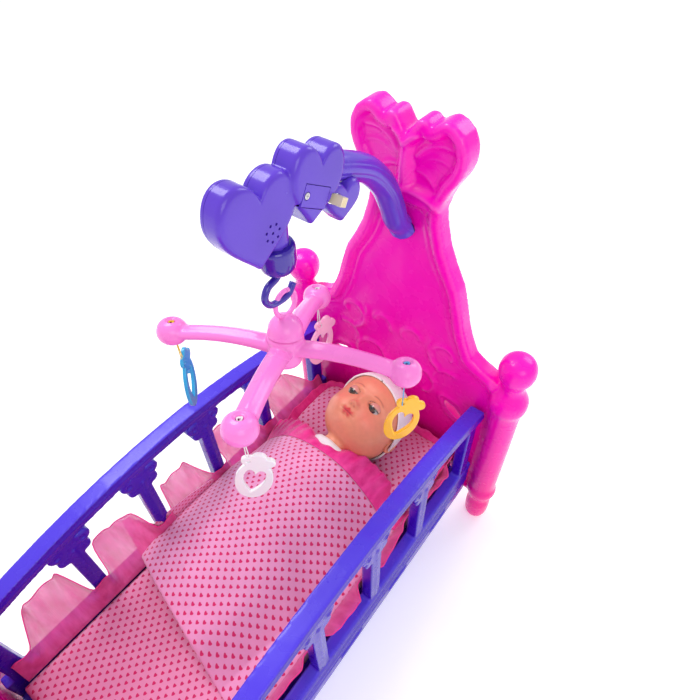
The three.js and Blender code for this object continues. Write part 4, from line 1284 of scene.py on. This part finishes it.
def bonnet():
    """The knitted bonnet: a dome about its own axis, cut off in a plane behind the face."""
    axis = np.array([0, 0.737, -0.676])
    across, along = np.array([1.0, 0, 0]), np.array([0, 0.676, 0.737])
    start = np.array([0, -6, -8.0])
    rows, cols = 70, 160
    theta, phi = np.meshgrid(np.linspace(0.02, math.radians(93), rows),
                             np.linspace(0, 2 * math.pi, cols, False),
                             indexing="ij")
    aim = (np.cos(theta)[..., None] * axis + (np.sin(theta) * np.cos(phi))[..., None] * across
           + (np.sin(theta) * np.sin(phi))[..., None] * along).reshape(-1, 3)
    low, high = np.full(len(aim), 0.0), np.full(len(aim), 90.0)
    for _ in range(40):
        mid = (low + high) / 2
        p = start + aim * mid[:, None]
        inside = (np.hypot(p[:, 0], p[:, 2]) < skull_radius(p[:, 1]) * (p[:, 1] < 45.5)) & (p[:, 1] > -40.5)
        low, high = np.where(inside, mid, low), np.where(inside, high, mid)
    near_edge = np.exp(-((theta.ravel() - math.radians(93)) / 0.09) ** 2)
    wrinkle = 0.35 * np.sin(phi.ravel() * 22 + 2 * np.sin(phi.ravel() * 3)) * np.exp(-((theta.ravel() - 1.25) / 0.3) ** 2)
    co = start + aim * (low + 1.5 + wrinkle + 0.5 * near_edge)[:, None]
    ears = np.hypot(np.abs(co[:, 0]) - 41, np.hypot(co[:, 1] + 4, co[:, 2] + 4)) < 9
    co[ears] += aim[ears] * 1.6
    uv = np.stack([phi.ravel() * 38, theta.ravel() * 42], 1)
    piece, area = uv_sheet("bonnet_knit", co, rows, cols, uv, 0.9, MAT["white_knit"], True)
    edge = [tuple(c) for c in co[-cols:]]
    hem = sweep("bonnet_hem", [*edge, edge[0]], 1.25, None, 14, 1)
    for each in (piece, hem):
        turn_in_mm(each, HEAD_TURN)
    finish_piece(piece, "head", "white_knit", None, ("doll_cap",))
    finish_piece(hem, "head", "white_knit")


def doll_body():
    piece = moulded(copy_of("doll_torso", "body_cloth"), 1.8, 8)
    co, normal = points_of(piece), normals_of(piece)
    co += normal * (ripple(co[:, 0], co[:, 1], 0.06, 4.4) * 0.9)[:, None]
    move_to(piece, co)
    finish_piece(piece, "cradle", "doll_cloth", None, ("doll_torso",))
    profile = smooth_line([(18.2, -4), (22.4, -4.4), (24.2, -2.5), (24.4, 1.5), (21.6, 4.6), (18.4, 5.2)], 3)
    rows, cols, co, uv = len(profile), 120, [], []
    for r, h in profile:
        for j in range(cols):
            a = 2 * math.pi * j / cols
            rr = r + 0.35 * math.sin(a * 9 + h * 0.3) * (r > 20)
            co.append((rr * math.sin(a), h + 4, rr * math.cos(a)))
            uv.append((a * 22, h * 4))
    band, area = uv_sheet("neck_band", np.array(co), rows, cols, np.array(uv), 0.9, MAT["white_knit"], True)
    turn_in_mm(band, BODY_TURN)
    finish_piece(band, "cradle", "white_knit", None, ("doll_collar",))
    for side in ("left", "right"):
        for limb in ("arm", "leg"):
            node = f"doll_{limb}_{side}"
            piece = moulded(copy_of(node, f"{limb}_{side}"), 0.9, 6)
            finish_piece(piece, "cradle", "skin_vinyl", VINYL, (node,))


doll_head()
eyeballs()
bonnet()
doll_body()
frills(cover_shape)


# ---------- stage and light ----------
def studio():
    floor = mesh_piece("floor", [(-4000, -4000, 0), (4000, -4000, 0), (4000, 4000, 0), (-4000, 4000, 0)],
                       [(0, 1, 2, 3)])
    m = Nodes("floor_paper")
    m.link(m.ramp(m.noise(8, 2), (0.93, 0.93, 0.935), (0.95, 0.95, 0.95)), m.shader.inputs["Base Color"])
    m.set(rough=0.6, glow=0.28)
    m.shader.inputs["Emission Color"].default_value = (1, 1, 1, 1)
    floor.data.materials.append(m.material)
    world = bpy.data.worlds.new("studio")
    world.use_nodes = True
    world.node_tree.nodes["Background"].inputs[0].default_value = (1.0, 0.99, 1.0, 1)
    world.node_tree.nodes["Background"].inputs[1].default_value = 0.70
    scene.world = world
    for name, at, size, power, aim in (
            ("key", (-0.9, 0.2, 1.9), 0.9, 19, (0, 0.05, 0.2)),
            ("fill", (1.5, -0.9, 1.4), 1.2, 11, (0, 0, 0.2)),
            ("rim", (0.4, 1.7, 1.3), 0.8, 7, (0, 0.1, 0.3))):
        data = bpy.data.lights.new(name, "AREA")
        data.size, data.energy = size, power
        lamp = bpy.data.objects.new(name, data)
        lamp.location = at
        lamp.rotation_euler = (Vector(aim) - Vector(at)).to_track_quat("-Z", "Y").to_euler()
        scene.collection.objects.link(lamp)
    scene.view_settings.view_transform = "Standard"


studio()
